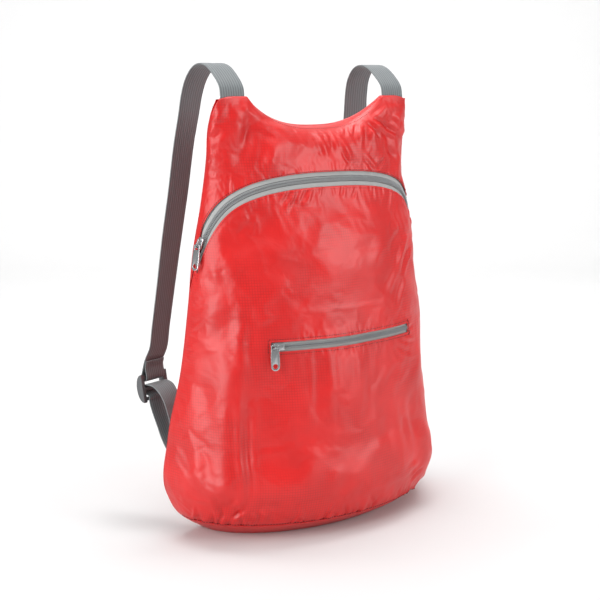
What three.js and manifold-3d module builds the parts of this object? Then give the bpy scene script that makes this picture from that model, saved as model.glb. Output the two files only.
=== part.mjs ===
// A packable backpack of thin ripstop cloth, standing filled on its base.
// Millimetres, +Z up, the front faces -Y, and the origin is the middle of the base on the floor.
// The cloth is a hollow shell of sewn panels, with an arched zip, a pocket zip and two webbing straps.
import * as THREE from "three";
import { mergeVertices } from "three/addons/utils/BufferGeometryUtils.js";
import Module from "manifold-3d";

const wasm = await Module();
wasm.setup();

// The bag's main sizes
const bagHeight = 394; // floor to the top of the shoulder corners
const bagWidth = 294; // widest, near the base
const bagDepth = 112; // front to back at the widest
const neckDip = 26; // the neckline below the shoulder corners, at the middle
const neckRoll = 20; // height over which the neckline rolls over to the back
const bottomSeam = 16; // height of the seam round the base

// Cloth, webbing and gaps
const clothThickness = 1.2;
const gap = 0.35; // between pieces that are sewn together
const seamGap = 0.6; // between the front and the back cloth along the side seams
const webbingWidth = 25;
const webbingThickness = 1.6;
const hornHem = 1.5; // cloth past each edge of the webbing at the shoulder corner
const hornDrop = 2.5; // fall of the corner's top edge over its outer half

// The arched main zip and the pocket zip
const zipTop = 321; // height of the arch at the middle
const zipBow = 50; // its long even fall to the side seams
const zipTurn = 40; // its further fall close to the seams
const zipShown = 14; // width of tape and coil between the cloth edges
const zipTucked = 2.4; // the same past the slider, where the cloth closes over the open tapes
const pocketHeight = 178;
const pocketLength = 157;
const pocketShown = 9.5;
const tapeThickness = 0.8;
const tapeHidden = 5; // width of tape sewn behind the cloth
const coilWidth = 4.6;
const coilProud = 0.8; // how far the coil stands out of the cloth
const coilGap = 0.5; // between the tapes' inner edges under the coil

// Sliders and pullers
const mainSliderAcross = -0.9; // share of the turn from the middle to the side seam
const pocketSliderInset = 6; // from the pocket zip's left end to its slider's post
const sliderLength = 10.5;
const sliderWidth = 8;
const sliderNose = 5.4; // width at the end that the closed coil leaves
const sliderPlate = 1.2;
const sliderPlay = 0.85; // clearance round the coil and the tapes
const wedgeWidth = 2;
const wedgeLength = 2.2;
const bridgeLength = 8.6; // over the two posts
const bridgeWidth = 1.5;
const bridgeThickness = 1.2;
const postRadius = 0.75;
const pullerLength = 23;
const pullerWidth = 8;
const pullerHead = 7; // width at the eye
const pullerThickness = 1.2;
const pullerPlay = 0.3; // the plate's clearance on its post and under the bridge
const pullerRim = 1.2; // metal round the eye
const pullerHole = 2.3; // radius of the finger hole
const pullerEyeLength = 3.4;

// Straps and buckles
const strapSpacing = 179; // between the straps' middles at the shoulder corners
const strapInsert = 15; // webbing sewn into the corner
const strapRise = 30; // top of the loop above the shoulder corner
const strapReach = 98; // how far behind the origin the buckle hangs
const buckleHeight = 121;
const anchorInset = 27; // from the bag's widest point in to the middles of the lower straps
const anchorHeight = 46; // foot of the lower strap's sewn end
const sewnLength = 16;
const buckleTilt = 10; // degrees that the buckle's top leans back
const buckleTurn = 18; // degrees that its outer end comes forward
const strapLean = 27; // degrees between the buckle and the strap above it
const barThickness = 3.4;
const barDepth = 3;
const railWidth = 4.4;
const railDepth = 9;
const upperSlot = 7.4;
const lowerSlot = 6.2;
const foldBack = 16; // webbing folded back up and sewn in front of the strap
const tailReach = 44; // how far forward of the buckle the loose tail comes
const tailDrop = 50; // how far it hangs below the buckle
const tailTwist = 42; // degrees that it turns by its end

// The body's sections, as shares: up of bagHeight, half of bagWidth, then depths of bagDepth.
// front and back are depths from the side seam, which lies at seam behind the origin.
const sections = [
  { up: 0.0, width: 0.75, front: 0.59, back: 0.036, seam: 0.277, square: 2.0 },
  { up: 0.03, width: 0.872, front: 0.76, back: 0.07, seam: 0.268, square: 2.0 },
  { up: 0.1, width: 1.0, front: 0.885, back: 0.107, seam: 0.259, square: 2.0 },
  { up: 0.23, width: 0.985, front: 0.83, back: 0.125, seam: 0.259, square: 2.0 },
  { up: 0.38, width: 0.905, front: 0.73, back: 0.125, seam: 0.223, square: 2.1 },
  { up: 0.53, width: 0.857, front: 0.634, back: 0.116, seam: 0.196, square: 2.1 },
  { up: 0.66, width: 0.823, front: 0.536, back: 0.107, seam: 0.179, square: 2.1 },
  { up: 0.76, width: 0.776, front: 0.41, back: 0.09, seam: 0.16, square: 2.1 },
  { up: 0.863, width: 0.748, front: 0.286, back: 0.07, seam: 0.125, square: 2.2 },
  { up: 0.94, width: 0.745, front: 0.19, back: 0.045, seam: 0.09, square: 2.4 },
  { up: 0.977, width: 0.728, front: 0.13, back: 0.03, seam: 0.06, square: 2.5 },
  { up: 1.0, width: 0.705, front: 0.08, back: 0.014, seam: 0.04, square: 2.5 },
];

// The cloth's main folds and dents: where their middles lie, as shares of the turn from the middle
// to the side seam and of bagHeight, their length and width as shares of bagHeight, the turn from
// upright in degrees, and how far they stand out, as a share of bagDepth.
const folds = [
  { name: "left corner ridge", across: -0.6, up: 0.26, length: 0.52, width: 0.04, turn: 0, rise: 0.05 },
  { name: "left ridge hollow", across: -0.44, up: 0.24, length: 0.44, width: 0.05, turn: 3, rise: -0.036 },
  { name: "right corner ridge", across: 0.5, up: 0.24, length: 0.48, width: 0.045, turn: 2, rise: 0.02 },
  { name: "right side slack", across: 0.78, up: 0.24, length: 0.46, width: 0.08, turn: 0, rise: -0.055 },
  { name: "right ridge hollow", across: 0.34, up: 0.2, length: 0.3, width: 0.05, turn: -8, rise: -0.025 },
  { name: "right corner slack", across: 0.84, up: 0.87, length: 0.22, width: 0.04, turn: 0, rise: -0.03 },
  { name: "pocket swell", across: -0.05, up: 0.35, length: 0.16, width: 0.12, turn: 90, rise: 0.03 },
  { name: "dip under the arch", across: -0.5, up: 0.69, length: 0.16, width: 0.035, turn: 62, rise: -0.03 },
  { name: "swell under the arch", across: 0.05, up: 0.66, length: 0.3, width: 0.08, turn: 90, rise: 0.03 },
  { name: "right side pull", across: 0.78, up: 0.6, length: 0.16, width: 0.03, turn: 20, rise: -0.03 },
  { name: "left corner crease", across: -0.5, up: 0.9, length: 0.16, width: 0.025, turn: 28, rise: -0.03 },
  { name: "left corner bulge", across: -0.3, up: 0.88, length: 0.14, width: 0.035, turn: 40, rise: 0.03 },
  { name: "right corner crease", across: 0.5, up: 0.89, length: 0.15, width: 0.025, turn: -12, rise: -0.034 },
  { name: "right corner pleat", across: 0.68, up: 0.93, length: 0.1, width: 0.02, turn: -60, rise: 0.024 },
  { name: "tuck at the base", across: -0.6, up: 0.085, length: 0.07, width: 0.03, turn: 80, rise: -0.03 },
];

const clothRed = new THREE.MeshStandardMaterial({ color: 0xe23a3f, roughness: 0.5 });
const webbingGrey = new THREE.MeshStandardMaterial({ color: 0x6e6e6e, roughness: 0.75 });
const tapeGrey = new THREE.MeshStandardMaterial({ color: 0xa9acac, roughness: 0.8 });
const coilGrey = new THREE.MeshStandardMaterial({ color: 0x8c8e90, roughness: 0.45 });
const metal = new THREE.MeshStandardMaterial({ color: 0xcfd0d2, roughness: 0.25, metalness: 1 });
const buckleGrey = new THREE.MeshStandardMaterial({ color: 0x4a4a4a, roughness: 0.5 });

const clamp = (value, low, high) => Math.min(high, Math.max(low, value));
const smooth = (value) => value * value * (3 - 2 * value);
const fadeIn = (value, start, end) => smooth(clamp((value - start) / (end - start), 0, 1));
const mix = (a, b, share) => a + (b - a) * share;

// A smooth curve through one column of a table.
function readColumn(table, column, up) {
  const last = table.length - 1;
  const share = clamp(up, table[0].up, table[last].up);
  const i = clamp(table.findIndex((row) => row.up > share) - 1, 0, last - 1);
  const at = share >= table[last].up ? last - 1 : i;
  const slope = (k) => (table[k + 1][column] - table[k][column]) / (table[k + 1].up - table[k].up);
  const span = (k) => table[k + 1].up - table[k].up;
  const tangent = (k) => {
    if (k === 0) return slope(0);
    if (k === last) return slope(last - 1);
    return (slope(k - 1) * span(k) + slope(k) * span(k - 1)) / (span(k - 1) + span(k));
  };
  const t = (share - table[at].up) / span(at);
  const start = (2 * t ** 3 - 3 * t ** 2 + 1) * table[at][column];
  const startPull = (t ** 3 - 2 * t ** 2 + t) * span(at) * tangent(at);
  const end = (3 * t ** 2 - 2 * t ** 3) * table[at + 1][column];
  const endPull = (t ** 3 - t ** 2) * span(at) * tangent(at + 1);
  return start + startPull + end + endPull;
}

function sectionAt(z) {
  const up = z / bagHeight;
  return {
    halfWidth: (readColumn(sections, "width", up) * bagWidth) / 2,
    front: readColumn(sections, "front", up) * bagDepth,
    back: readColumn(sections, "back", up) * bagDepth,
    seam: readColumn(sections, "seam", up) * bagDepth,
    square: readColumn(sections, "square", up),
  };
}

// A point of a section's front curve, as shares of its half width and depth. Across is a share of
// the quarter turn from the middle (0) to the left side seam (-1) or the right one (1).
function roundedPoint(across, square) {
  const angle = ((across + 1) * Math.PI) / 2;
  const c = Math.cos(angle);
  const s = Math.sin(angle);
  const radius = (Math.abs(c) ** square + Math.abs(s) ** square) ** (-1 / square);
  return { x: -radius * c, depth: radius * s };
}

// The share of the turn at which the front curve lies x to the right of the middle.
function acrossAt(x, z) {
  const section = sectionAt(z);
  const share = x / section.halfWidth;
  const depth = (1 - Math.abs(share) ** section.square) ** (1 / section.square);
  return (Math.atan2(depth, -share) * 2) / Math.PI - 1;
}

// How far one share of the turn reaches along the cloth at a place.
function runAt(across, z) {
  const section = sectionAt(z);
  const step = 0.01;
  const before = roundedPoint(across - step, section.square);
  const after = roundedPoint(across + step, section.square);
  const wide = (after.x - before.x) * section.halfWidth;
  const deep = (after.depth - before.depth) * section.front;
  return Math.hypot(wide, deep) / (2 * step);
}

// The top edge: flat over each shoulder corner, dipping between them
const strapMiddle = strapSpacing / 2;
const hornInner = strapMiddle - webbingWidth / 2 - hornHem;
const neckPower = 2.6;
const lipEase = 10; // width over which the cloth's lip comes forward for the webbing

function neckline(x) {
  const share = clamp(Math.abs(x) / hornInner, 0, 1);
  const outer = clamp((Math.abs(x) - strapMiddle) / (strapMiddle - hornInner), 0, 1);
  return bagHeight - neckDip * (1 - share ** neckPower) - hornDrop * outer ** 2;
}

function topEdge(across) {
  let z = bagHeight;
  for (let i = 0; i < 5; i += 1) {
    const section = sectionAt(z);
    z = neckline(roundedPoint(across, section.square).x * section.halfWidth);
  }
  return z;
}

// How far the cloth's top edge lies in front of the side seam: it takes the webbing at the corners.
const seamEdge = clothThickness + seamGap;
const webbingPlane = seamEdge + webbingThickness / 2;

function lipAt(x) {
  const plain = seamEdge + clothThickness;
  const atCorner = webbingPlane + webbingThickness / 2 + gap + clothThickness;
  return mix(plain, atCorner, fadeIn(Math.abs(x), hornInner - lipEase, hornInner));
}

const rollShare = (below) => {
  const share = clamp(below / neckRoll, 0, 1);
  return Math.sqrt(share * (2 - share));
};

// Folds fade out from this share of their half length, near the side seams and at the base.
const foldSteady = 0.4;
const foldSide = 0.86;
const foldBase = 2.2;

function foldHeight(across, z) {
  let height = 0;
  for (const fold of folds) {
    const turn = THREE.MathUtils.degToRad(fold.turn);
    const dx = (across - fold.across) * runAt((across + fold.across) / 2, z);
    const dz = z - fold.up * bagHeight;
    const along = dx * Math.sin(turn) + dz * Math.cos(turn);
    const aside = dx * Math.cos(turn) - dz * Math.sin(turn);
    const reach = (fold.length * bagHeight) / 2;
    const spread = fold.width * bagHeight;
    const ends = 1 - fadeIn(Math.abs(along), reach * foldSteady, reach);
    height += fold.rise * bagDepth * ends * Math.exp(-((aside / spread) ** 2));
  }
  const atSides = 1 - fadeIn(Math.abs(across), foldSide, 1);
  const atBase = fadeIn(z, bottomSeam, bottomSeam * foldBase);
  const atSliders = sliderFlat(across, z);
  return height * atSides * atBase * atSliders;
}

// Folds die out round each slider, so that it sits square on its zip.
function sliderFlat(across, z) {
  let share = 1;
  for (const zip of [mainZip, pocketZip]) {
    const aside = (across - zip.sliderAcross) * runAt(zip.sliderAcross, z);
    const away = Math.hypot(aside, z - zip.line(zip.sliderAcross));
    share *= fadeIn(away, sliderLength, sliderLength * 3);
  }
  return share;
}

// A point of the front cloth's outer face, or inset behind it.
function frontPoint(across, z, inset) {
  const section = sectionAt(z);
  const p = roundedPoint(across, section.square);
  const x = p.x * (section.halfWidth - inset);
  const full = seamEdge + (section.front - seamEdge - inset) * p.depth;
  const lip = lipAt(x) - inset;
  const roll = rollShare(topEdge(across) - inset - z);
  const nx = (Math.sign(p.x) * Math.abs(p.x) ** (section.square - 1)) / section.halfWidth;
  const ny = Math.abs(p.depth) ** (section.square - 1) / section.front;
  const lift = (foldHeight(across, z) * roll) / Math.hypot(nx, ny);
  return new THREE.Vector3(x + nx * lift, section.seam - mix(lip, full, roll) - ny * lift, z);
}

// A point of the back cloth, at a share of the half width.
function backPoint(share, z, inset) {
  const section = sectionAt(z);
  const x = share * section.halfWidth;
  const bulge = section.back * (1 - share ** 4) * rollShare(neckline(x) - z);
  return new THREE.Vector3(x, section.seam + bulge - inset, z);
}

const steps = (from, to, count) => {
  return Array.from({ length: count + 1 }, (_, i) => mix(from, to, i / count));
};

// A sheet with thickness: place(i, j, side) gives its outer (0) and inner (1) points,
// and keep(i, j) says which cells are there, so a slot is left out cell by cell.
function sheet(columns, rows, place, keep = () => true) {
  const positions = [];
  const index = (i, j, side) => (side * (columns + 1) + i) * (rows + 1) + j;
  for (let side = 0; side < 2; side += 1) {
    for (let i = 0; i <= columns; i += 1) {
      for (let j = 0; j <= rows; j += 1) positions.push(...place(i, j, side).toArray());
    }
  }
  const triangles = [];
  const quad = (a, b, c, d) => triangles.push(a, b, c, a, c, d);
  const there = (i, j) => i >= 0 && j >= 0 && i < columns && j < rows && keep(i, j);
  for (let i = 0; i < columns; i += 1) {
    for (let j = 0; j < rows; j += 1) {
      if (!there(i, j)) continue;
      const [a, b, c, d] = [[i, j], [i + 1, j], [i + 1, j + 1], [i, j + 1]];
      quad(index(...a, 0), index(...b, 0), index(...c, 0), index(...d, 0));
      quad(index(...c, 1), index(...b, 1), index(...a, 1), index(...d, 1));
      const edge = (p, q) => quad(index(...q, 0), index(...p, 0), index(...p, 1), index(...q, 1));
      if (!there(i, j - 1)) edge(a, b);
      if (!there(i + 1, j)) edge(b, c);
      if (!there(i, j + 1)) edge(c, d);
      if (!there(i - 1, j)) edge(d, a);
    }
  }
  const geometry = new THREE.BufferGeometry();
  geometry.setAttribute("position", new THREE.Float32BufferAttribute(positions, 3));
  geometry.setIndex(triangles);
  return geometry;
}

// The zips as lines across the front, and how steeply each rises along the cloth
const archLine = (across) => {
  return zipTop - zipBow * Math.abs(across) ** 2.5 - zipTurn * Math.abs(across) ** 9;
};
function slopeAt(line, across) {
  const step = 0.01;
  return (line(across + step) - line(across - step)) / (2 * step * runAt(across, line(across)));
}
const pocketEnd = acrossAt(pocketLength / 2, pocketHeight);
const pocketShare = 1 / runAt(pocketEnd, pocketHeight); // one millimetre, as a share of the turn
const mainZip = {
  name: "main",
  line: archLine,
  shown: zipShown,
  from: -1,
  to: 1,
  coilEnd: 1,
  sliderAcross: mainSliderAcross,
};
const pocketZip = {
  name: "pocket",
  line: () => pocketHeight,
  shown: pocketShown,
  from: -pocketEnd - tapeHidden * pocketShare,
  to: pocketEnd + tapeHidden * pocketShare,
  coilEnd: pocketEnd - 2 * gap * pocketShare,
  sliderAcross: -pocketEnd + pocketSliderInset * pocketShare,
};

// The tapes are fully apart from partStart past the slider's middle and together from partEnd.
const partStart = 1;
const partEnd = 4.5;
const fromSlider = (zip, distance) => {
  const run = runAt(zip.sliderAcross, zip.line(zip.sliderAcross));
  return distance / (run * Math.hypot(1, slopeAt(zip.line, zip.sliderAcross)));
};

// Half the width of a zip that shows between the cloth edges, and the share of its narrowing past
// the slider of the main zip. The turn's shares from tuckStart to tuckEnd are where it narrows.
const tuckStart = -0.915;
const tuckEnd = -0.955;
const tucked = (zip, across) => (zip === mainZip ? fadeIn(-across, -tuckStart, -tuckEnd) : 0);
const shownHalf = (zip, across) => mix(zip.shown, zipTucked, tucked(zip, across)) / 2;

// The columns of points that the front, the yoke and the tapes share, so that they stay parallel.
// Even columns closer than this to a fixed one are left out.
const columnApart = 0.014;
const columnMerge = 0.003;
const fixedColumns = [-1, pocketZip.from, -pocketEnd, pocketEnd, pocketZip.to, 1];
fixedColumns.push(tuckStart, (tuckStart + tuckEnd) / 2, tuckEnd);
for (const zip of [mainZip, pocketZip]) {
  fixedColumns.push(zip.sliderAcross + fromSlider(zip, partStart));
  fixedColumns.push(zip.sliderAcross + fromSlider(zip, partEnd));
}
const apart = (a) => fixedColumns.every((fixed) => Math.abs(fixed - a) > columnApart);
const evenColumns = steps(-1, 1, 36).filter(apart);
const frontColumns = [...fixedColumns, ...evenColumns].sort((a, b) => a - b);
const columnsBetween = (from, to) => {
  const inside = frontColumns.filter((a) => a > from + columnMerge && a < to - columnMerge);
  return [from, ...inside, to];
};

// Places at a distance off a zip's line: straight above or below it at the cloth's edges, and
// square to it under the coil, but for the ends at the side seams, from squareEnd on.
const squareEnd = 0.93;

function uprightPlace(zip, across, off) {
  return { across, z: zip.line(across) + off * Math.hypot(1, slopeAt(zip.line, across)) };
}

function squarePlace(zip, across, off) {
  const slope = slopeAt(zip.line, across);
  const length = Math.hypot(1, slope);
  const share = 1 - fadeIn(Math.abs(across), squareEnd, 1);
  const shift = (-off * slope * share) / (length * runAt(across, zip.line(across)));
  return { across: across + shift, z: zip.line(across) + mix(off * length, off / length, share) };
}

// A strip along a zip, from the places of its edges and rows.
function zipStrip(from, to, places, depths) {
  const columns = columnsBetween(from, to);
  return sheet(columns.length - 1, places.length - 1, (i, j, side) => {
    const place = places[j](columns[i]);
    return frontPoint(place.across, place.z, depths[side]);
  });
}

const tapeTop = clothThickness + gap;
const tapeDepths = [tapeTop, tapeTop + tapeThickness];

// The tapes part where the slider's wedge spreads them.
function tapeOpening(zip, across) {
  const closed = across - zip.sliderAcross;
  const share = fadeIn(closed, fromSlider(zip, partStart), fromSlider(zip, partEnd));
  return mix(wedgeWidth / 2 + 2 * gap, coilGap / 2, Math.max(share, tucked(zip, across)));
}

// The two tapes of a zip: each has a hidden strip behind the cloth and a strip that shows.
function tapes(zip) {
  const tape = (side) => {
    const places = [
      (across) => uprightPlace(zip, across, side * (shownHalf(zip, across) + tapeHidden)),
      (across) => uprightPlace(zip, across, side * shownHalf(zip, across)),
      (across) => squarePlace(zip, across, side * tapeOpening(zip, across)),
    ];
    return zipStrip(zip.from, zip.to, side < 0 ? places : places.reverse(), tapeDepths);
  };
  return [tape(-1), tape(1)];
}

// The closed coil runs from under the slider to the far end.
function coil(zip) {
  const places = [-coilWidth / 2, coilWidth / 2].map((off) => (across) => squarePlace(zip, across, off));
  const start = zip.sliderAcross + fromSlider(zip, coilGap);
  return zipStrip(start, zip.coilEnd, places, [-coilProud, tapeTop - 2 * gap]);
}

const clothDepths = [0, clothThickness];

// The front cloth under the arch, with the pocket's slot left open
function frontPanel() {
  const lowRows = 9;
  const highRows = 6;
  const edge = pocketShown / 2;
  const heights = frontColumns.map((a) => {
    const hidden = uprightPlace(mainZip, a, -shownHalf(mainZip, a) - tapeHidden).z;
    return [
      ...steps(bottomSeam + gap / 2, pocketHeight - edge - tapeHidden, lowRows),
      pocketHeight - edge,
      pocketHeight + edge,
      ...steps(pocketHeight + edge + tapeHidden, hidden, highRows),
      uprightPlace(mainZip, a, -shownHalf(mainZip, a)).z,
    ];
  });
  const slotRow = lowRows + 1;
  const inSlot = (i) => Math.abs(frontColumns[i] + frontColumns[i + 1]) / 2 < pocketEnd;
  return sheet(
    frontColumns.length - 1,
    heights[0].length - 1,
    (i, j, side) => frontPoint(frontColumns[i], heights[i][j], clothDepths[side]),
    (i, j) => !(j === slotRow && inSlot(i)),
  );
}

// Rows closer together towards the neckline, where the cloth rolls over
const topCrowding = 1.7;
const towardsTop = (count) => steps(0, 1, count).map((share) => 1 - (1 - share) ** topCrowding);

// The yoke over the arch, up to the neckline and the shoulder corners
function yokePanel() {
  const edge = (a, past) => uprightPlace(mainZip, a, shownHalf(mainZip, a) + past).z;
  const low = frontColumns.map((a) => edge(a, 0));
  const hidden = frontColumns.map((a) => edge(a, tapeHidden));
  const top = frontColumns.map((a) => topEdge(a));
  const shares = towardsTop(7);
  return sheet(frontColumns.length - 1, shares.length, (i, j, side) => {
    const inset = clothDepths[side];
    const z = j === 0 ? low[i] : mix(hidden[i], top[i] - inset, shares[j - 1]);
    return frontPoint(frontColumns[i], z, inset);
  });
}

// The back cloth is seen from behind, so its columns run the other way, closer at the sides.
function backPanel() {
  const sideCrowding = 1.3;
  const even = steps(sideCrowding, -sideCrowding, 16);
  const shares = even.map((t) => Math.sin(t) / Math.sin(sideCrowding));
  const rows = towardsTop(14);
  return sheet(shares.length - 1, rows.length - 1, (i, j, side) => {
    let top = bagHeight;
    for (let k = 0; k < 5; k += 1) top = neckline(shares[i] * sectionAt(top).halfWidth);
    return backPoint(shares[i], mix(bottomSeam + gap / 2, top, rows[j]), clothDepths[side]);
  });
}

// The base: a rim that rises to the seam round a flat floor, closed at its middle
function bottomPanel() {
  const frontCount = 32;
  const backCount = 14;
  const rimRows = 3;
  const floorRows = 2;
  const seam = bottomSeam - gap / 2;
  const around = frontCount + backCount;
  const outline = (k, z, inset) => {
    if (k <= frontCount) return frontPoint(mix(-1, 1, k / frontCount), z, inset);
    const share = mix(1, -1, (k - frontCount) / backCount);
    const section = sectionAt(z);
    const p = backPoint(share, z, inset);
    return p.setX(share * (section.halfWidth - inset));
  };
  const positions = [];
  const ring = (side, row) => {
    const inset = side * clothThickness;
    const middle = new THREE.Vector3(0, 0, inset);
    for (let k = 0; k < around; k += 1) {
      if (row <= rimRows) {
        const z = mix(seam, 0, row / rimRows);
        const lift = (inset * row) / rimRows;
        positions.push(...outline(k, z, inset).setZ(z + lift).toArray());
      } else {
        const share = 1 - (row - rimRows) / (floorRows + 1);
        positions.push(...outline(k, 0, inset).setZ(inset).lerp(middle, 1 - share).toArray());
      }
    }
  };
  const rows = rimRows + floorRows;
  for (let side = 0; side < 2; side += 1) {
    for (let row = 0; row <= rows; row += 1) ring(side, row);
    positions.push(0, 0, side * clothThickness);
  }
  const sideStart = (rows + 1) * around + 1;
  const index = (side, row, k) => side * sideStart + row * around + (k % around);
  const centre = (side) => side * sideStart + (rows + 1) * around;
  const triangles = [];
  const quad = (a, b, c, d) => triangles.push(a, b, c, a, c, d);
  for (let k = 0; k < around; k += 1) {
    for (let row = 0; row < rows; row += 1) {
      quad(index(0, row, k), index(0, row + 1, k), index(0, row + 1, k + 1), index(0, row, k + 1));
      quad(index(1, row, k + 1), index(1, row + 1, k + 1), index(1, row + 1, k), index(1, row, k));
    }
    triangles.push(index(0, rows, k), centre(0), index(0, rows, k + 1));
    triangles.push(index(1, rows, k + 1), centre(1), index(1, rows, k));
    quad(index(0, 0, k + 1), index(1, 0, k + 1), index(1, 0, k), index(0, 0, k));
  }
  const geometry = new THREE.BufferGeometry();
  geometry.setAttribute("position", new THREE.Float32BufferAttribute(positions, 3));
  geometry.setIndex(triangles);
  return geometry;
}

// Geometry to a manifold-3d solid and back, for joins and cuts
function toSolid(geometry) {
  const plain = new THREE.BufferGeometry();
  plain.setAttribute("position", geometry.getAttribute("position"));
  if (geometry.index) plain.setIndex(geometry.index);
  const merged = mergeVertices(plain, 1e-4);
  const vertProperties = new Float32Array(merged.attributes.position.array);
  const triVerts = new Uint32Array(merged.index.array);
  return new wasm.Manifold(new wasm.Mesh({ numProp: 3, vertProperties, triVerts }));
}

function fromSolid(solid) {
  const mesh = solid.getMesh();
  const geometry = new THREE.BufferGeometry();
  geometry.setAttribute("position", new THREE.BufferAttribute(mesh.vertProperties, 3));
  geometry.setIndex(new THREE.BufferAttribute(mesh.triVerts, 1));
  return geometry;
}

const joined = (...geometries) => {
  return fromSolid(geometries.map(toSolid).reduce((all, next) => all.add(next)));
};

const plate = (shape, thickness, bottom, curveSegments = 6) => {
  const options = { depth: thickness, bevelEnabled: false, curveSegments };
  const geometry = new THREE.ExtrudeGeometry(shape, options);
  return geometry.translate(0, 0, bottom);
};

const block = (x, y, z, width, depth, height) => {
  return new THREE.BoxGeometry(width, depth, height).translate(x, y, z);
};

// The slider in its own frame: x along the zip towards the closed coil, z out of the cloth.
// The top plate lies over the coil, the lower plate behind the tapes, and the wedge joins them.
const topPlateBottom = coilProud + sliderPlay;
const topPlateTop = topPlateBottom + sliderPlate;
const lowerPlateTop = -(tapeTop + tapeThickness + sliderPlay);
const windowHeight = pullerThickness + 3 * pullerPlay;
const postX = bridgeLength / 2 - postRadius;

function sliderOutline() {
  const shape = new THREE.Shape();
  const half = sliderLength / 2;
  shape.moveTo(half, -sliderNose / 2);
  shape.lineTo(half, sliderNose / 2);
  shape.quadraticCurveTo(0, sliderNose / 2, -half * 0.5, sliderWidth / 2);
  shape.quadraticCurveTo(-half, sliderWidth / 2, -half, sliderWidth / 4);
  shape.lineTo(-half * 0.8, 0);
  shape.lineTo(-half, -sliderWidth / 4);
  shape.quadraticCurveTo(-half, -sliderWidth / 2, -half * 0.5, -sliderWidth / 2);
  shape.quadraticCurveTo(0, -sliderNose / 2, half, -sliderNose / 2);
  return shape;
}

function slider() {
  const top = plate(sliderOutline(), sliderPlate, topPlateBottom, 3);
  const lower = plate(sliderOutline(), sliderPlate, lowerPlateTop - sliderPlate, 3);
  const wedgeHeight = topPlateTop - lowerPlateTop;
  const wedgeMiddle = (topPlateTop + lowerPlateTop) / 2 - sliderPlate / 4;
  const wedgeX = -sliderLength * 0.5 + wedgeLength / 2 + sliderLength * 0.1;
  const wedge = block(wedgeX, 0, wedgeMiddle, wedgeLength, wedgeWidth, wedgeHeight);
  const postHeight = windowHeight + bridgeThickness + sliderPlate / 2;
  const post = (x) => {
    const shape = new THREE.CylinderGeometry(postRadius, postRadius, postHeight, 10);
    return shape.rotateX(Math.PI / 2).translate(x, 0, topPlateTop - sliderPlate / 2 + postHeight / 2);
  };
  const bridgeMiddle = topPlateTop + windowHeight + bridgeThickness / 2;
  const bridge = block(0, 0, bridgeMiddle, bridgeLength, bridgeWidth, bridgeThickness);
  return joined(top, lower, wedge, post(postX), post(-postX), bridge);
}

// The puller in its own frame: it hangs along -y from a post at the origin, flat in x and y.
function puller() {
  const shape = new THREE.Shape();
  const headTop = postRadius + pullerPlay + pullerRim;
  const end = headTop - pullerLength;
  const corner = pullerWidth / 2;
  const rounding = 1;
  shape.moveTo(-pullerHead / 2 + rounding, headTop);
  shape.lineTo(pullerHead / 2 - rounding, headTop);
  shape.quadraticCurveTo(pullerHead / 2, headTop, pullerHead / 2, headTop - rounding);
  shape.lineTo(pullerHead / 2, headTop - pullerEyeLength - 2 * pullerRim);
  shape.lineTo(pullerWidth / 2, headTop - pullerLength * 0.5);
  shape.lineTo(pullerWidth / 2, end + corner);
  shape.absarc(0, end + corner, corner, 0, -Math.PI, true);
  shape.lineTo(-pullerWidth / 2, headTop - pullerLength * 0.5);
  shape.lineTo(-pullerHead / 2, headTop - pullerEyeLength - 2 * pullerRim);
  shape.lineTo(-pullerHead / 2, headTop - rounding);
  shape.quadraticCurveTo(-pullerHead / 2, headTop, -pullerHead / 2 + rounding, headTop);
  const eye = new THREE.Path();
  const eyeHalf = pullerHead / 2 - pullerRim;
  const eyeTop = headTop - pullerRim;
  eye.moveTo(-eyeHalf, eyeTop);
  eye.lineTo(-eyeHalf, eyeTop - pullerEyeLength);
  eye.lineTo(eyeHalf, eyeTop - pullerEyeLength);
  eye.lineTo(eyeHalf, eyeTop);
  const hole = new THREE.Path();
  hole.absarc(0, end + corner, pullerHole, 0, Math.PI * 2, false);
  shape.holes.push(eye, hole);
  return plate(shape, pullerThickness, topPlateTop + pullerPlay, 7);
}

// The frame of a slider on its zip: along the zip, up the cloth, and out of it. Its middle lies
// level with the cloth's outer face, over the middle of the tapes.
function sliderFrame(zip) {
  const across = zip.sliderAcross;
  const z = zip.line(across);
  const step = 0.004;
  const depth = tapeTop + tapeThickness / 2;
  const on = (a, height) => frontPoint(a, height, depth);
  const along = on(across + step, zip.line(across + step));
  along.sub(on(across - step, zip.line(across - step))).normalize();
  const rise = on(across, z + 1).sub(on(across, z - 1));
  const side = on(across + step, z).sub(on(across - step, z));
  const out = side.cross(rise).normalize();
  const up = out.clone().cross(along).normalize();
  return { middle: on(across, z).addScaledVector(out, depth), along, up, out };
}

// A slider and its puller, which hangs straight down from the slider's outer post.
function sliderPieces(zip) {
  const { middle, along, up, out } = sliderFrame(zip);
  const sliderMesh = new THREE.Mesh(slider(), metal);
  sliderMesh.name = `${zip.name}_zip_slider`;
  sliderMesh.position.copy(middle);
  sliderMesh.quaternion.setFromRotationMatrix(new THREE.Matrix4().makeBasis(along, up, out));
  const pullerMesh = new THREE.Mesh(puller(), metal);
  pullerMesh.name = `${zip.name}_zip_puller`;
  const hang = new THREE.Vector3(0, 0, 1).projectOnPlane(out).normalize();
  const aside = hang.clone().cross(out).normalize();
  const post = middle.clone().addScaledVector(along, -postX);
  pullerMesh.position.copy(post);
  pullerMesh.quaternion.setFromRotationMatrix(new THREE.Matrix4().makeBasis(aside, hang, out));
  return [sliderMesh, pullerMesh];
}

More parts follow.
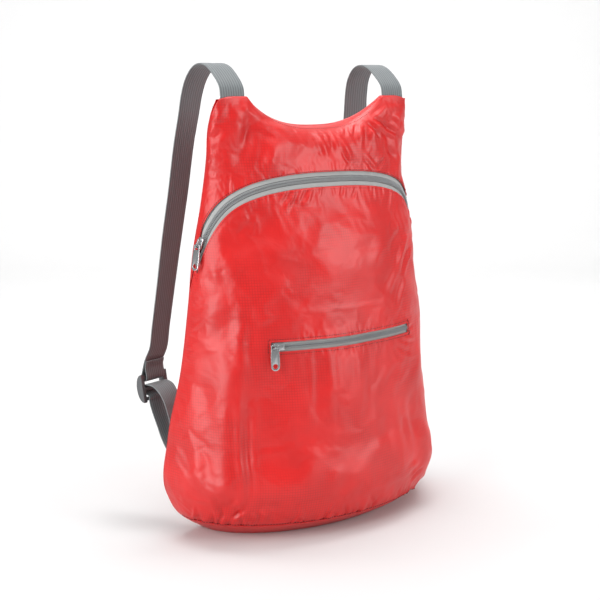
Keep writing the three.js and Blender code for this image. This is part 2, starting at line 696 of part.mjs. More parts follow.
// A ribbon through stations that each give a middle and a direction across.
function ribbon(stations, width, thickness) {
  const last = stations.length - 1;
  const corners = stations.map((station, i) => {
    const before = stations[Math.max(0, i - 1)].middle;
    const after = stations[Math.min(last, i + 1)].middle;
    const along = after.clone().sub(before).normalize();
    const across = station.across.clone().projectOnPlane(along).normalize();
    const face = along.clone().cross(across).normalize();
    const corner = (a, f) => {
      const p = station.middle.clone().addScaledVector(across, (a * width) / 2);
      return p.addScaledVector(face, (f * thickness) / 2);
    };
    return [corner(-1, -1), corner(1, -1), corner(1, 1), corner(-1, 1)];
  });
  const positions = corners.flat().flatMap((p) => p.toArray());
  const triangles = [];
  const quad = (a, b, c, d) => triangles.push(a, b, c, a, c, d);
  for (let i = 0; i < last; i += 1) {
    for (let k = 0; k < 4; k += 1) {
      const n = (k + 1) % 4;
      quad(4 * i + k, 4 * i + n, 4 * i + 4 + n, 4 * i + 4 + k);
    }
  }
  quad(3, 2, 1, 0);
  quad(4 * last, 4 * last + 1, 4 * last + 2, 4 * last + 3);
  const geometry = new THREE.BufferGeometry();
  geometry.setAttribute("position", new THREE.Float32BufferAttribute(positions, 3));
  geometry.setIndex(triangles);
  return geometry;
}

// The left buckle's frame: along its bars, out of its back and up its height, about its middle
const anchorMiddle = bagWidth / 2 - anchorInset;
const buckleMiddle = new THREE.Vector3(-anchorMiddle, strapReach, buckleHeight);
const tilt = THREE.MathUtils.degToRad(buckleTilt);
const lean = THREE.MathUtils.degToRad(strapLean);
const turned = (degrees) => {
  const angle = THREE.MathUtils.degToRad(degrees);
  return new THREE.Vector3(Math.cos(angle), Math.sin(angle), 0);
};
const straight = turned(0);
const buckleAcross = turned(buckleTurn);
const level = turned(buckleTurn + 90);
const buckleBack = level.clone().multiplyScalar(Math.cos(tilt)).setZ(-Math.sin(tilt));
const buckleUp = level.clone().multiplyScalar(Math.sin(tilt)).setZ(Math.cos(tilt));
const topBar = barThickness + upperSlot;
const bottomBar = -(barThickness + lowerSlot);
const wrapRadius = Math.hypot(barDepth / 2, barThickness / 2) + gap + webbingThickness / 2;

const onBuckle = (back, up) => {
  return buckleMiddle.clone().addScaledVector(buckleBack, back).addScaledVector(buckleUp, up);
};

// Points of an arc round a bar of the buckle, in degrees from its back, turning up.
function wrap(up, from, to, count) {
  return steps(from, to, count).map((degrees) => {
    const angle = THREE.MathUtils.degToRad(degrees);
    return onBuckle(wrapRadius * Math.cos(angle), up + wrapRadius * Math.sin(angle));
  });
}

// The upper strap: out of the shoulder corner, over in a loop, down behind the back, round the
// buckle's top bar and up again to its sewn end. out, back and drop are shares of the way from the
// corner to the top bar, rise is a share of the loop's height over the corner, and turn is how many
// degrees the webbing turns its face outwards.
const upperRoute = [
  { out: 0.0, back: 0.02, drop: 0, rise: 0.3, turn: 0 },
  { out: 0.0, back: 0.13, drop: 0, rise: 0.66, turn: 0 },
  { out: 0.0, back: 0.25, drop: 0, rise: 0.9, turn: 0 },
  { out: 0.02, back: 0.365, drop: 0, rise: 0.97, turn: 2 },
  { out: 0.05, back: 0.48, drop: 0, rise: 0.85, turn: 4 },
  { out: 0.1, back: 0.58, drop: 0, rise: 0.5, turn: 7 },
  { out: 0.15, back: 0.63, drop: 0, rise: 0.07, turn: 9 },
  { out: 0.2, back: 0.665, drop: 0.06, rise: 0, turn: 11 },
  { out: 0.28, back: 0.72, drop: 0.163, rise: 0, turn: 12 },
  { out: 0.38, back: 0.788, drop: 0.331, rise: 0, turn: 12 },
  { out: 0.51, back: 0.847, drop: 0.49, rise: 0, turn: 13 },
  { out: 0.64, back: 0.906, drop: 0.663, rise: 0, turn: 17 },
  { out: 0.75, back: 0.96, drop: 0.814, rise: 0, turn: 18 },
  { out: 0.84, back: 0.975, drop: 0.9, rise: 0, turn: 18 },
];

function upperStrapStations() {
  const plane = (z) => sectionAt(z).seam - webbingPlane;
  const inside = steps(bagHeight - strapInsert, bagHeight, 3).map((z) => {
    return { middle: new THREE.Vector3(-strapMiddle, plane(z), z), across: straight };
  });
  const start = inside[inside.length - 1].middle;
  const end = onBuckle(0, topBar);
  const route = upperRoute.map((row) => {
    const x = mix(start.x, end.x, row.out);
    const y = mix(start.y, end.y, row.back);
    const z = mix(start.z, end.z, row.drop) + row.rise * strapRise;
    return new THREE.Vector3(x, y, z);
  });
  const rear = (up) => {
    const back = wrapRadius * Math.cos(lean) - up * Math.sin(lean);
    return onBuckle(back, topBar + wrapRadius * Math.sin(lean) + up * Math.cos(lean));
  };
  const forward = rear(0).sub(onBuckle(0, topBar)).normalize().negate();
  const path = [start, ...route, rear(foldBack * 0.9), rear(foldBack * 0.3), rear(0)];
  const curve = new THREE.CatmullRomCurve3(path, false, "centripetal");
  const turns = [0, ...upperRoute.map((row) => row.turn), buckleTurn, buckleTurn, buckleTurn];
  const count = 42;
  const open = steps(0, 1, count).slice(1).map((share) => {
    const t = curve.getUtoTmapping(share) * (turns.length - 1);
    const i = Math.min(Math.floor(t), turns.length - 2);
    return { middle: curve.getPointAt(share), across: turned(mix(turns[i], turns[i + 1], t - i)) };
  });
  const around = wrap(topBar, strapLean, strapLean - 180, 6).slice(1);
  const returned = steps(0, foldBack, 4).slice(1).map((up) => {
    const closed = fadeIn(up, 0, foldBack * 0.75);
    return rear(up).addScaledVector(forward, mix(2 * wrapRadius, webbingThickness + gap, closed));
  });
  const folded = [...around, ...returned].map((middle) => ({ middle, across: buckleAcross }));
  return [...inside, ...open, ...folded];
}

// The lower strap: sewn on the back cloth near the base, up to the buckle in front of its bottom
// bar, behind the middle bar, out again through the upper slot, and over in an arch to its tail.
// back and up are shares of the way from the sewn end to the buckle.
const lowerRoute = [
  { back: 0.12, up: 0.09 },
  { back: 0.28, up: 0.16 },
  { back: 0.43, up: 0.26 },
  { back: 0.57, up: 0.4 },
  { back: 0.7, up: 0.58 },
  { back: 0.84, up: 0.78 },
];
// forward and down are shares of the tail's reach and drop.
const tailRoute = [
  { forward: 0.18, down: -0.02 },
  { forward: 0.38, down: 0.0 },
  { forward: 0.57, down: 0.09 },
  { forward: 0.71, down: 0.23 },
  { forward: 0.8, down: 0.4 },
  { forward: 0.87, down: 0.6 },
  { forward: 0.93, down: 0.8 },
  { forward: 1.0, down: 1.0 },
];

// Where the webbing meets the back of the middle bar and leaves it, in degrees from its back
const wrapStart = -38;
const wrapEnd = 60;

function lowerStrapStations() {
  const onBack = (z) => {
    const section = sectionAt(z);
    const at = (x) => backPoint(x / section.halfWidth, z, 0);
    const outer = at(-anchorMiddle - webbingWidth / 2);
    const inner = at(-anchorMiddle + webbingWidth / 2);
    const middle = at(-anchorMiddle).setY(Math.max(at(-anchorMiddle).y, (outer.y + inner.y) / 2));
    middle.y += gap + webbingThickness / 2;
    return { middle, across: inner.sub(outer).normalize() };
  };
  const sewn = steps(anchorHeight, anchorHeight + sewnLength, 3).map(onBack);
  const foot = sewn[sewn.length - 1];
  const entry = onBuckle(-wrapRadius, bottomBar - barThickness / 2);
  const rising = lowerRoute.map((row) => {
    const x = -anchorMiddle;
    const y = mix(foot.middle.y, entry.y, row.back);
    return new THREE.Vector3(x, y, mix(foot.middle.z, entry.z, row.up));
  });
  const through = onBuckle(-wrapRadius, bottomBar + barThickness / 2);
  const slot = onBuckle(0, bottomBar + barThickness / 2 + lowerSlot / 2);
  const path = [foot.middle, ...rising, entry, through, slot];
  const curve = new THREE.CatmullRomCurve3(path, false, "centripetal");
  const count = 20;
  const open = steps(0, 1, count).slice(1).map((share) => {
    const across = foot.across.clone().lerp(buckleAcross, fadeIn(share, 0, 0.6));
    return { middle: curve.getPointAt(share), across };
  });
  const around = wrap(0, wrapStart, wrapEnd, 5).map((middle) => ({ middle, across: buckleAcross }));
  const exit = onBuckle(-barDepth / 2, barThickness / 2 + gap + webbingThickness);
  const tail = tailRoute.map((row) => {
    const y = exit.y - row.forward * tailReach;
    return new THREE.Vector3(exit.x, y, exit.z - row.down * tailDrop);
  });
  const over = new THREE.CatmullRomCurve3([around[5].middle, exit, ...tail], false, "centripetal");
  const looped = steps(0, 1, 18).slice(1).map((share) => {
    const twist = mix(buckleTurn, tailTwist, smooth(share));
    return { middle: over.getPointAt(share), across: turned(twist) };
  });
  return [...sewn, ...open, ...around, ...looped];
}

// The buckle: two D-shaped rails joined by three bars, moulded in one piece
function buckle() {
  const inside = webbingWidth / 2 + 2 * gap;
  const top = topBar + barThickness;
  const bottom = bottomBar - barThickness;
  const outline = new THREE.Shape();
  outline.moveTo(-barDepth / 2, bottom);
  outline.lineTo(-barDepth / 2, top);
  outline.bezierCurveTo(railDepth, top, railDepth, bottom, -barDepth / 2, bottom);
  const rail = (x) => {
    const options = { depth: railWidth, bevelEnabled: false, curveSegments: 10 };
    const geometry = new THREE.ExtrudeGeometry(outline, options);
    // The outline's x is the buckle's back and its y is up, so the rail is turned to run across.
    geometry.applyMatrix4(new THREE.Matrix4().makeBasis(
      new THREE.Vector3(0, 1, 0),
      new THREE.Vector3(0, 0, 1),
      new THREE.Vector3(1, 0, 0),
    ));
    return geometry.translate(x, 0, 0);
  };
  const bar = (up, height) => block(0, 0, up, 2 * inside + railWidth, barDepth, height);
  return joined(
    rail(inside),
    rail(-inside - railWidth),
    bar(topBar, barThickness),
    bar(0, barThickness),
    bar(bottomBar, barThickness),
  );
}

const group = new THREE.Group();

function add(name, geometry, material) {
  const mesh = new THREE.Mesh(geometry, material);
  mesh.name = name;
  group.add(mesh);
  return mesh;
}

add("front_panel", frontPanel(), clothRed);
add("yoke_panel", yokePanel(), clothRed);
add("back_panel", backPanel(), clothRed);
add("bottom_panel", bottomPanel(), clothRed);

for (const zip of [mainZip, pocketZip]) {
  const [low, high] = tapes(zip);
  add(`${zip.name}_zip_lower_tape`, low, tapeGrey);
  add(`${zip.name}_zip_upper_tape`, high, tapeGrey);
  add(`${zip.name}_zip_coil`, coil(zip), coilGrey);
  group.add(...sliderPieces(zip));
}

for (const side of ["left", "right"]) {
  const webbing = (stations) => ribbon(stations, webbingWidth, webbingThickness);
  const strap = add(`${side}_upper_strap`, webbing(upperStrapStations()), webbingGrey);
  const lower = add(`${side}_lower_strap`, webbing(lowerStrapStations()), webbingGrey);
  const frame = add(`${side}_buckle`, buckle(), buckleGrey);
  frame.position.copy(buckleMiddle);
  const basis = new THREE.Matrix4().makeBasis(buckleAcross, buckleBack, buckleUp);
  frame.quaternion.setFromRotationMatrix(basis);
  if (side === "right") {
    for (const piece of [strap, lower]) piece.scale.x = -1;
    frame.position.x *= -1;
    frame.rotation.set(-tilt, 0, -THREE.MathUtils.degToRad(buckleTurn), "ZYX");
  }
}

export default group;
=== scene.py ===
import math

import bmesh
import bpy
import numpy as np
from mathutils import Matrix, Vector, noise


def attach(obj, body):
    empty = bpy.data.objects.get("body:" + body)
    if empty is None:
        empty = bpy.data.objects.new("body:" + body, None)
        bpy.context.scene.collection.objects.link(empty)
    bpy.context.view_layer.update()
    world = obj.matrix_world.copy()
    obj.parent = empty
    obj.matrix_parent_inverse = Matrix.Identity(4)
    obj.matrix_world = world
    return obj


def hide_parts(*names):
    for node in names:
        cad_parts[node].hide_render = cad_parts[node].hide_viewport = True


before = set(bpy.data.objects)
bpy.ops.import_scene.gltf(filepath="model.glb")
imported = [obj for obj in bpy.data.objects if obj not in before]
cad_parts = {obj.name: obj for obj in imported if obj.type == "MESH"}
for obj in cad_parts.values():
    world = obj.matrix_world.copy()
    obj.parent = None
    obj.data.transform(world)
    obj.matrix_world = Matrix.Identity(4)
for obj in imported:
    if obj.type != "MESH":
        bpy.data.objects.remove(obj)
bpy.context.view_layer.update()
millimetre = 0.001
chance = np.random.default_rng(7)

# The bag's sizes in millimetres, the same as the CAD part's
bag = {
    "height": 394.0,
    "width": 294.0,
    "depth": 112.0,
    "neckDip": 26.0,
    "neckPower": 2.6,
    "neckRoll": 20.0,
    "bottomSeam": 16.0,
    "seamEdge": 1.8,  # the front cloth's side edges in front of the side seam
    "lip": 3.0,  # the neckline's front edge in front of the side seam
    "cornerLip": 4.95,  # the same where the webbing is sewn in
    "lipEase": 10.0,
    "cornerStart": 75.5,  # inner end of each flat shoulder corner
    "cornerMiddle": 89.5,
    "cornerDrop": 2.5,  # fall of the corner's top edge over its outer half
}
sections = {
    "up": [0.0, 0.03, 0.1, 0.23, 0.38, 0.53, 0.66, 0.76, 0.863, 0.94, 0.977, 1.0],
    "width": [0.75, 0.872, 1.0, 0.985, 0.905, 0.857, 0.823, 0.776, 0.748, 0.745, 0.728, 0.705],
    "front": [0.59, 0.76, 0.885, 0.83, 0.73, 0.634, 0.536, 0.41, 0.286, 0.19, 0.13, 0.08],
    "back": [0.036, 0.07, 0.107, 0.125, 0.125, 0.116, 0.107, 0.09, 0.07, 0.045, 0.03, 0.014],
    "seam": [0.277, 0.268, 0.259, 0.259, 0.223, 0.196, 0.179, 0.16, 0.125, 0.09, 0.06, 0.04],
    "square": [2.0, 2.0, 2.0, 2.0, 2.1, 2.1, 2.1, 2.1, 2.2, 2.4, 2.5, 2.5],
}


def smooth(value):
    return value * value * (3 - 2 * value)


def fadeIn(value, start, end):
    return smooth(np.clip((value - start) / (end - start), 0, 1))


def mix(a, b, share):
    return a + (b - a) * share


# A smooth curve through one column of the sections.
def readSection(column, z):
    ups, values = np.array(sections["up"]), np.array(sections[column])
    up = np.clip(z / bag["height"], 0, 1)
    spans = np.diff(ups)
    slopes = np.diff(values) / spans
    inner = (slopes[:-1] * spans[1:] + slopes[1:] * spans[:-1]) / (spans[:-1] + spans[1:])
    tangents = np.concatenate([slopes[:1], inner, slopes[-1:]])
    at = np.clip(np.searchsorted(ups, up, side="right") - 1, 0, len(spans) - 1)
    t = (up - ups[at]) / spans[at]
    start = (2 * t**3 - 3 * t**2 + 1) * values[at] + (t**3 - 2 * t**2 + t) * spans[at] * tangents[at]
    return start + (3 * t**2 - 2 * t**3) * values[at + 1] + (t**3 - t**2) * spans[at] * tangents[at + 1]


def roundedPoint(across, square):
    angle = (across + 1) * np.pi / 2
    c, s = np.cos(angle), np.sin(angle)
    radius = (np.abs(c) ** square + np.abs(s) ** square) ** (-1 / square)
    return -radius * c, radius * s


def neckline(x):
    share = np.clip(np.abs(x) / bag["cornerStart"], 0, 1)
    outer = np.clip((np.abs(x) - bag["cornerMiddle"]) / (bag["cornerMiddle"] - bag["cornerStart"]), 0, 1)
    return bag["height"] - bag["neckDip"] * (1 - share ** bag["neckPower"]) - bag["cornerDrop"] * outer**2


def topEdge(across):
    z = np.full(np.shape(across), bag["height"])
    for _ in range(5):
        x, _ = roundedPoint(across, readSection("square", z))
        z = neckline(x * readSection("width", z) * bag["width"] / 2)
    return z


def rollShare(below):
    share = np.clip(below / bag["neckRoll"], 0, 1)
    return np.sqrt(share * (2 - share))


runGrid = {"reach": 1.04, "columns": 417, "rows": 120}


# How far along the cloth each share of the turn lies from the middle, at each height.
def runTable():
    across = np.linspace(-runGrid["reach"], runGrid["reach"], runGrid["columns"])
    heights = np.linspace(0, bag["height"], runGrid["rows"])
    a, z = np.meshgrid(across, heights)
    x, depth = roundedPoint(a, readSection("square", z))
    x = x * readSection("width", z) * bag["width"] / 2
    depth = depth * readSection("front", z) * bag["depth"]
    run = np.cumsum(np.hypot(np.diff(x, axis=1), np.diff(depth, axis=1)), axis=1)
    run = np.concatenate([np.zeros((len(heights), 1)), run], axis=1)
    middle = runGrid["columns"] // 2
    return run - run[:, middle:middle + 1]


runs = runTable()


# Millimetres along the cloth from its middle line to a share of the turn.
def runAlong(across, z):
    lastColumn, lastRow = runGrid["columns"] - 1, runGrid["rows"] - 1
    column = (across / runGrid["reach"] + 1) / 2 * lastColumn
    column = np.clip(column, 0, lastColumn - 0.001)
    row = np.clip(z / bag["height"] * lastRow, 0, lastRow - 0.001)
    i, j = row.astype(int), column.astype(int)
    s, t = row - i, column - j
    low = mix(runs[i, j], runs[i, j + 1], t)
    return mix(low, mix(runs[i + 1, j], runs[i + 1, j + 1], t), s)


# The zips: height of the arch's middle, how it falls to the sides, and what shows of each
arch = {
    "top": 321.0, "bow": 50.0, "turn": 40.0, "shown": 14.0, "slider": -0.9,
    "tucked": 2.4, "tuck": (-0.915, -0.955),
}
pocket = {"height": 178.0, "length": 157.0, "shown": 9.5, "sliderInset": 6.0}


def archLine(across):
    a = np.abs(across)
    return arch["top"] - arch["bow"] * a**2.5 - arch["turn"] * a**9


def pocketLine(across):
    return np.full(np.shape(across), pocket["height"])


def runPerShare(line, across):
    step = 0.01
    z = line(across)
    return (runAlong(across + step, z) - runAlong(across - step, z)) / (2 * step)


def runSlope(line, across):
    step = 0.01
    return (line(across + step) - line(across - step)) / (2 * step * runPerShare(line, across))


# Height of a line at a distance off a zip's middle line, straight above or below it.
def zipEdge(line, across, off):
    return line(across) + off * np.hypot(1, runSlope(line, across))


# 0 along the main zip, rising to 1 past its slider, where the cloth closes over the tapes.
def archTuck(across):
    first, last = arch["tuck"]
    return fadeIn(-across, -first, -last)


# Height of the cloth's edge above (1) or below (-1) the main zip, or off into the cloth.
def archEdge(across, side, off=0.0):
    shown = mix(arch["shown"], arch["tucked"], archTuck(across)) / 2
    return zipEdge(archLine, across, side * (shown + off))


# A place at a distance off a zip's middle line, square to it but for the ends at the seams.
def zipPlace(line, across, off):
    slope = runSlope(line, across)
    length = np.hypot(1, slope)
    share = 1 - fadeIn(np.abs(across), 0.93, 1)
    shift = -off * slope * share / (length * runPerShare(line, across))
    return across + shift, line(across) + mix(off * length, off / length, share)


# The main folds, as in the CAD part: shares of the turn and of the height, degrees from upright,
# and how far each stands out, as a share of the depth
foldColumns = ("across", "up", "length", "width", "turn", "rise")
folds = [dict(zip(foldColumns, row)) for row in [
    (-0.6, 0.26, 0.52, 0.04, 0, 0.05),
    (-0.44, 0.24, 0.44, 0.05, 3, -0.036),
    (0.5, 0.24, 0.48, 0.045, 2, 0.02),
    (0.78, 0.24, 0.46, 0.08, 0, -0.055),
    (0.34, 0.2, 0.3, 0.05, -8, -0.025),
    (0.84, 0.87, 0.22, 0.04, 0, -0.03),
    (-0.05, 0.35, 0.16, 0.12, 90, 0.03),
    (-0.5, 0.69, 0.16, 0.035, 62, -0.03),
    (0.05, 0.66, 0.3, 0.08, 90, 0.03),
    (0.78, 0.6, 0.16, 0.03, 20, -0.03),
    (-0.5, 0.9, 0.16, 0.025, 28, -0.03),
    (-0.3, 0.88, 0.14, 0.035, 40, 0.03),
    (0.5, 0.89, 0.15, 0.025, -12, -0.034),
    (0.68, 0.93, 0.1, 0.02, -60, 0.024),
    (-0.6, 0.085, 0.07, 0.03, 80, -0.03),
]]

# Creases that the CAD part leaves out: run from the middle and height of their middles, length,
# width and rise in millimetres, and degrees from upright. A sharp one has a narrow crest.
creaseColumns = ("run", "z", "length", "width", "turn", "rise", "bend")
yokeCreases = [dict(zip(creaseColumns, row)) for row in [
    (-76.8, 381.0, 27.3, 3.2, -30, 1.5, 0.1),
    (-76.2, 379.5, 16.4, 4.0, -7, -1.6, 0),
    (-80.1, 360.8, 27.8, 4.2, 15, -1.5, 0.1),
    (-53.6, 369.0, 40.9, 5.0, -76, 1.5, 0.1),
    (-54.5, 373.5, 40.1, 2.4, -76, -0.7, 0.1),
    (-69.0, 341.5, 28.6, 4.5, 29, -1.3, 0.1),
    (-60.4, 345.0, 31.4, 5.5, 24, 1.1, 0),
    (-108.3, 362.0, 17.7, 3.2, 56, -1.2, 0.2),
    (-106.4, 377.8, 16.3, 3.4, 28, 1.1, 0),
    (-95.6, 380.8, 19.4, 3.4, -4, -0.9, 0.1),
    (-3.5, 350.0, 32.4, 3.0, -15, 1.3, 0.05),
    (6.7, 353.8, 24.4, 2.2, -1, -1.1, 0),
    (21.2, 348.2, 31.0, 2.8, -25, 1.1, 0.05),
    (19.9, 339.2, 17.9, 2.0, -29, -1.0, 0),
    (-19.0, 353.8, 16.9, 3.0, -4, -0.6, 0),
    (35.0, 356.2, 17.6, 3.0, -17, -0.7, 0.1),
    (71.7, 365.0, 44.7, 2.6, -65, 1.6, 0.08),
    (81.2, 364.2, 57.6, 2.2, -65, -1.5, 0.06),
    (60.5, 362.8, 25.5, 2.2, -41, -1.5, 0.1),
    (47.2, 354.8, 29.4, 3.0, 17, -1.3, 0),
    (41.1, 361.2, 26.6, 3.2, 35, 1.2, 0.1),
    (57.4, 354.8, 25.0, 3.4, -13, 1.2, 0),
    (67.0, 381.0, 27.2, 1.8, 57, -1.0, 0),
    (26.5, 361.8, 10.3, 1.4, 25, -0.8, 0),
    (34.0, 362.8, 12.2, 1.4, 29, 0.8, 0),
    (39.4, 365.5, 10.9, 1.3, 36, -0.8, 0),
    (50.8, 333.5, 27.4, 2.4, -43, 1.2, 0.1),
    (64.8, 333.2, 26.0, 2.0, 60, -1.0, 0),
    (86.0, 340.8, 22.4, 3.2, -58, -1.0, 0),
    (88.4, 370.2, 15.5, 2.6, -53, -0.9, 0),
]]
frontCreases = [dict(zip(creaseColumns, row)) for row in [
    (-50.2, 306.2, 19.9, 1.9, 38, -1.3, 0.1),
    (-44.8, 305.8, 20.4, 1.8, 34, 1.1, 0.1),
    (-32.5, 307.2, 19.7, 1.8, 37, -1.3, 0.1),
    (-26.6, 306.8, 20.4, 1.8, 27, 0.9, 0),
    (-38.6, 299.5, 15.7, 2.4, -61, -0.6, 0),
    (23.5, 307.2, 14.6, 1.6, 36, -0.8, 0),
    (9.5, 309.0, 11.1, 1.6, 26, -0.6, 0),
    (0.2, 309.0, 11.3, 1.6, -3, 0.6, 0),
    (-83.1, 296.8, 29.5, 5.0, -79, -1.3, 0.1),
    (-94.8, 290.8, 22.9, 4.5, 69, 0.8, 0),
    (80.5, 250.0, 46.5, 3.4, 48, 1.6, 0.05),
    (86.0, 241.0, 44.5, 2.6, 50, -1.5, 0.05),
    (70.1, 261.2, 41.7, 4.0, 54, -1.2, 0.05),
    (80.7, 276.5, 31.3, 4.0, -23, -1.2, 0),
    (38.5, 251.8, 37.8, 6.0, 42, 0.9, 0.1),
    (59.4, 223.8, 39.4, 4.0, 42, 1.0, 0.1),
    (68.8, 214.0, 39.5, 3.0, 35, -1.0, 0.1),
    (-75.6, 257.0, 17.6, 5.0, -45, -0.7, 0),
    (-112.7, 87.0, 135.2, 3.6, 3, 1.8, 0),
    (-108.4, 88.2, 122.2, 4.5, 4, -1.6, 0),
    (-104.3, 186.2, 96.0, 5.5, 5, 1.2, 0),
    (-98.0, 189.0, 77.7, 6.0, 4, -1.0, 0),
    (-77.4, 197.0, 26.2, 3.5, 73, -1.0, 0.1),
    (-87.9, 176.5, 19.8, 4.0, -46, -0.8, 0),
    (51.0, 184.2, 17.7, 1.8, 53, -0.9, 0),
    (80.8, 177.0, 26.6, 1.8, 85, -1.0, 0),
    (81.6, 167.8, 30.3, 1.8, -79, 0.9, 0),
    (70.7, 158.2, 32.7, 2.4, -64, -1.0, 0.1),
    (56.2, 152.2, 26.1, 3.0, -42, 0.8, 0.1),
    (85.5, 36.0, 28.8, 1.8, 72, -1.8, 0.1),
    (73.3, 45.8, 35.9, 3.2, 81, 1.3, 0.1),
    (-117.5, 30.0, 18.7, 2.0, 48, -2.0, 0.1),
    (-121.2, 37.8, 18.7, 3.0, 45, 1.2, 0.1),
    (-132.2, 30.0, 17.1, 2.0, -18, -1.0, 0),
    (-97.9, 27.2, 14.6, 1.8, -26, -1.2, 0),
    (-91.7, 29.2, 17.8, 2.4, -19, 0.9, 0),
    (18.4, 24.2, 26.3, 1.8, -38, -1.2, 0),
    (-13.1, 22.8, 19.9, 1.8, -32, -1.0, 0),
    (-20.2, 49.8, 37.4, 6.0, 32, -0.9, 0.1),
    (-59.6, 28.8, 22.4, 2.0, -23, 0.9, 0),
    (-53.4, 68.0, 69.1, 9.0, 23, 0.9, 0.05),
    (38.2, 89.5, 70.1, 8.0, -3, -1.0, 0.05),
    (71.8, 86.8, 63.1, 5.0, -11, 1.0, 0.05),
    (-141.0, 123.2, 64.3, 7.0, -11, -0.9, 0.05),
    (-154.5, 69.5, 64.8, 6.0, -10, 0.9, 0.05),
    (-131.8, 202.0, 68.0, 7.0, 13, 0.8, 0.05),
    (-0.1, 280.8, 30.7, 7.0, -54, 0.7, 0.1),
    (-31.9, 278.2, 28.4, 7.0, 81, -0.6, 0.1),
    (-59.8, 211.5, 27.0, 6.0, -46, 0.6, 0.1),
    (-125.1, 242.2, 26.0, 4.0, -10, 0.8, 0),
]]


def foldHeight(across, z):
    run = runAlong(across, z)
    height = np.zeros(np.shape(z))
    for fold in folds:
        turn = math.radians(fold["turn"])
        dx = run - runAlong(np.full(np.shape(z), fold["across"]), z)
        dz = z - fold["up"] * bag["height"]
        along = dx * math.sin(turn) + dz * math.cos(turn)
        aside = dx * math.cos(turn) - dz * math.sin(turn)
        reach = fold["length"] * bag["height"] / 2
        ends = 1 - fadeIn(np.abs(along), reach * 0.4, reach)
        crest = np.exp(-((aside / (fold["width"] * bag["height"])) ** 2))
        height += fold["rise"] * bag["depth"] * ends * crest
    height *= 1 - fadeIn(np.abs(across), 0.86, 1)
    return height * fadeIn(z, bag["bottomSeam"], bag["bottomSeam"] * 2.2)


# Narrow creases and puckers. Each is a crest with a shallow trough on either side.
def creaseHeight(across, z, table):
    run = runAlong(across, z)
    height = np.zeros(np.shape(z))
    for crease in table:
        turn = math.radians(crease["turn"])
        dx, dz = run - crease["run"], z - crease["z"]
        far = crease["length"] + 4 * crease["width"]
        near = (np.abs(dx) < far) & (np.abs(dz) < far)
        if not near.any():
            continue
        dx, dz = dx[near], dz[near]
        along = dx * math.sin(turn) + dz * math.cos(turn)
        aside = dx * math.cos(turn) - dz * math.sin(turn)
        aside = aside - crease["bend"] * (along / crease["length"]) ** 2 * crease["length"]
        reach = crease["length"] / 2
        if crease.get("from"):
            # It starts at full height on the seam and dies out away from it.
            ends = (1 - fadeIn(along + reach, reach * 0.5, 2 * reach)) * (along > -reach - 2)
        else:
            ends = 1 - fadeIn(np.abs(along), reach * 0.2, reach)
        width = crease["width"]
        t = aside / width
        profile = np.exp(-(t**2)) - 0.42 * np.exp(-(((np.abs(t) - 1.9) / 0.9) ** 2))
        height[near] += crease["rise"] * ends * profile
    return height


# Folds die out round each slider, so that it sits square on its zip.
def nearSliders(across, z):
    share = np.ones(np.shape(z))
    places = [(arch["slider"], float(archLine(arch["slider"]))), (pocketSlider, pocket["height"])]
    for a, height in places:
        aside = runAlong(across, z) - float(runAlong(np.array(a), np.array(height)))
        share *= fadeIn(np.hypot(aside, z - height), 10.5, 31.5)
    return share


# The share of the turn at which the front lies x to the right of the middle.
def shareAt(x, z):
    square = float(readSection("square", np.array(z)))
    share = x / (float(readSection("width", np.array(z))) * bag["width"] / 2)
    depth = (1 - abs(share) ** square) ** (1 / square)
    return math.atan2(depth, -share) * 2 / math.pi - 1


pocketEnd = shareAt(pocket["length"] / 2, pocket["height"])
perMillimetre = 0.02 / float(
    runAlong(np.array(pocketEnd + 0.01), np.array(pocket["height"]))
    - runAlong(np.array(pocketEnd - 0.01), np.array(pocket["height"]))
)
pocketSlider = -pocketEnd + pocket["sliderInset"] * perMillimetre


# Points of the front cloth's outer face, or inset behind it, as an array of x, y, z.
def frontPoint(across, z, inset=0.0, fine=None):
    across, z = np.broadcast_arrays(np.asarray(across, float), np.asarray(z, float))
    halfWidth = readSection("width", z) * bag["width"] / 2
    front = readSection("front", z) * bag["depth"]
    seam = readSection("seam", z) * bag["depth"]
    square = readSection("square", z)
    px, depth = roundedPoint(np.clip(across, -1, 1), square)
    x = px * (halfWidth - inset)
    full = bag["seamEdge"] + (front - bag["seamEdge"] - inset) * depth
    atCorner = fadeIn(np.abs(x), bag["cornerStart"] - bag["lipEase"], bag["cornerStart"])
    lip = mix(bag["lip"], bag["cornerLip"], atCorner) - inset
    roll = rollShare(topEdge(across) - inset - z)
    nx = np.sign(px) * np.abs(px) ** (square - 1) / halfWidth
    ny = np.abs(depth) ** (square - 1) / front
    height = foldHeight(across, z)
    if fine is not None:
        height = height + fine(across, z)
    lift = height * nearSliders(across, z) * roll / np.hypot(nx, ny)
    return np.stack([x + nx * lift, seam - mix(lip, full, roll) - ny * lift, z], -1)


def backPoint(share, z, inset=0.0):
    share, z = np.broadcast_arrays(np.asarray(share, float), np.asarray(z, float))
    x = share * readSection("width", z) * bag["width"] / 2
    bulge = readSection("back", z) * bag["depth"] * (1 - share**4) * rollShare(neckline(x) - z)
    return np.stack([x, readSection("seam", z) * bag["depth"] + bulge - inset, z], -1)


# A smooth mesh from points in millimetres. uvs are millimetres along the cloth, kept as metres.
def meshObject(name, points, faces, uvs=None, materials=(), slots=None):
    mesh = bpy.data.meshes.new(name)
    mesh.from_pydata((np.asarray(points).reshape(-1, 3) * millimetre).tolist(), [], faces)
    mesh.shade_smooth()
    if uvs is not None:
        corners = np.empty(len(mesh.loops), dtype=np.int32)
        mesh.loops.foreach_get("vertex_index", corners)
        flat = np.asarray(uvs, float).reshape(-1, 2)[corners] * millimetre
        mesh.uv_layers.new(name="cloth").data.foreach_set("uv", flat.ravel())
    for material in materials:
        mesh.materials.append(material)
    if slots is not None:
        mesh.polygons.foreach_set("material_index", slots)
    made = bpy.data.objects.new(name, mesh)
    bpy.context.scene.collection.objects.link(made)
    return made


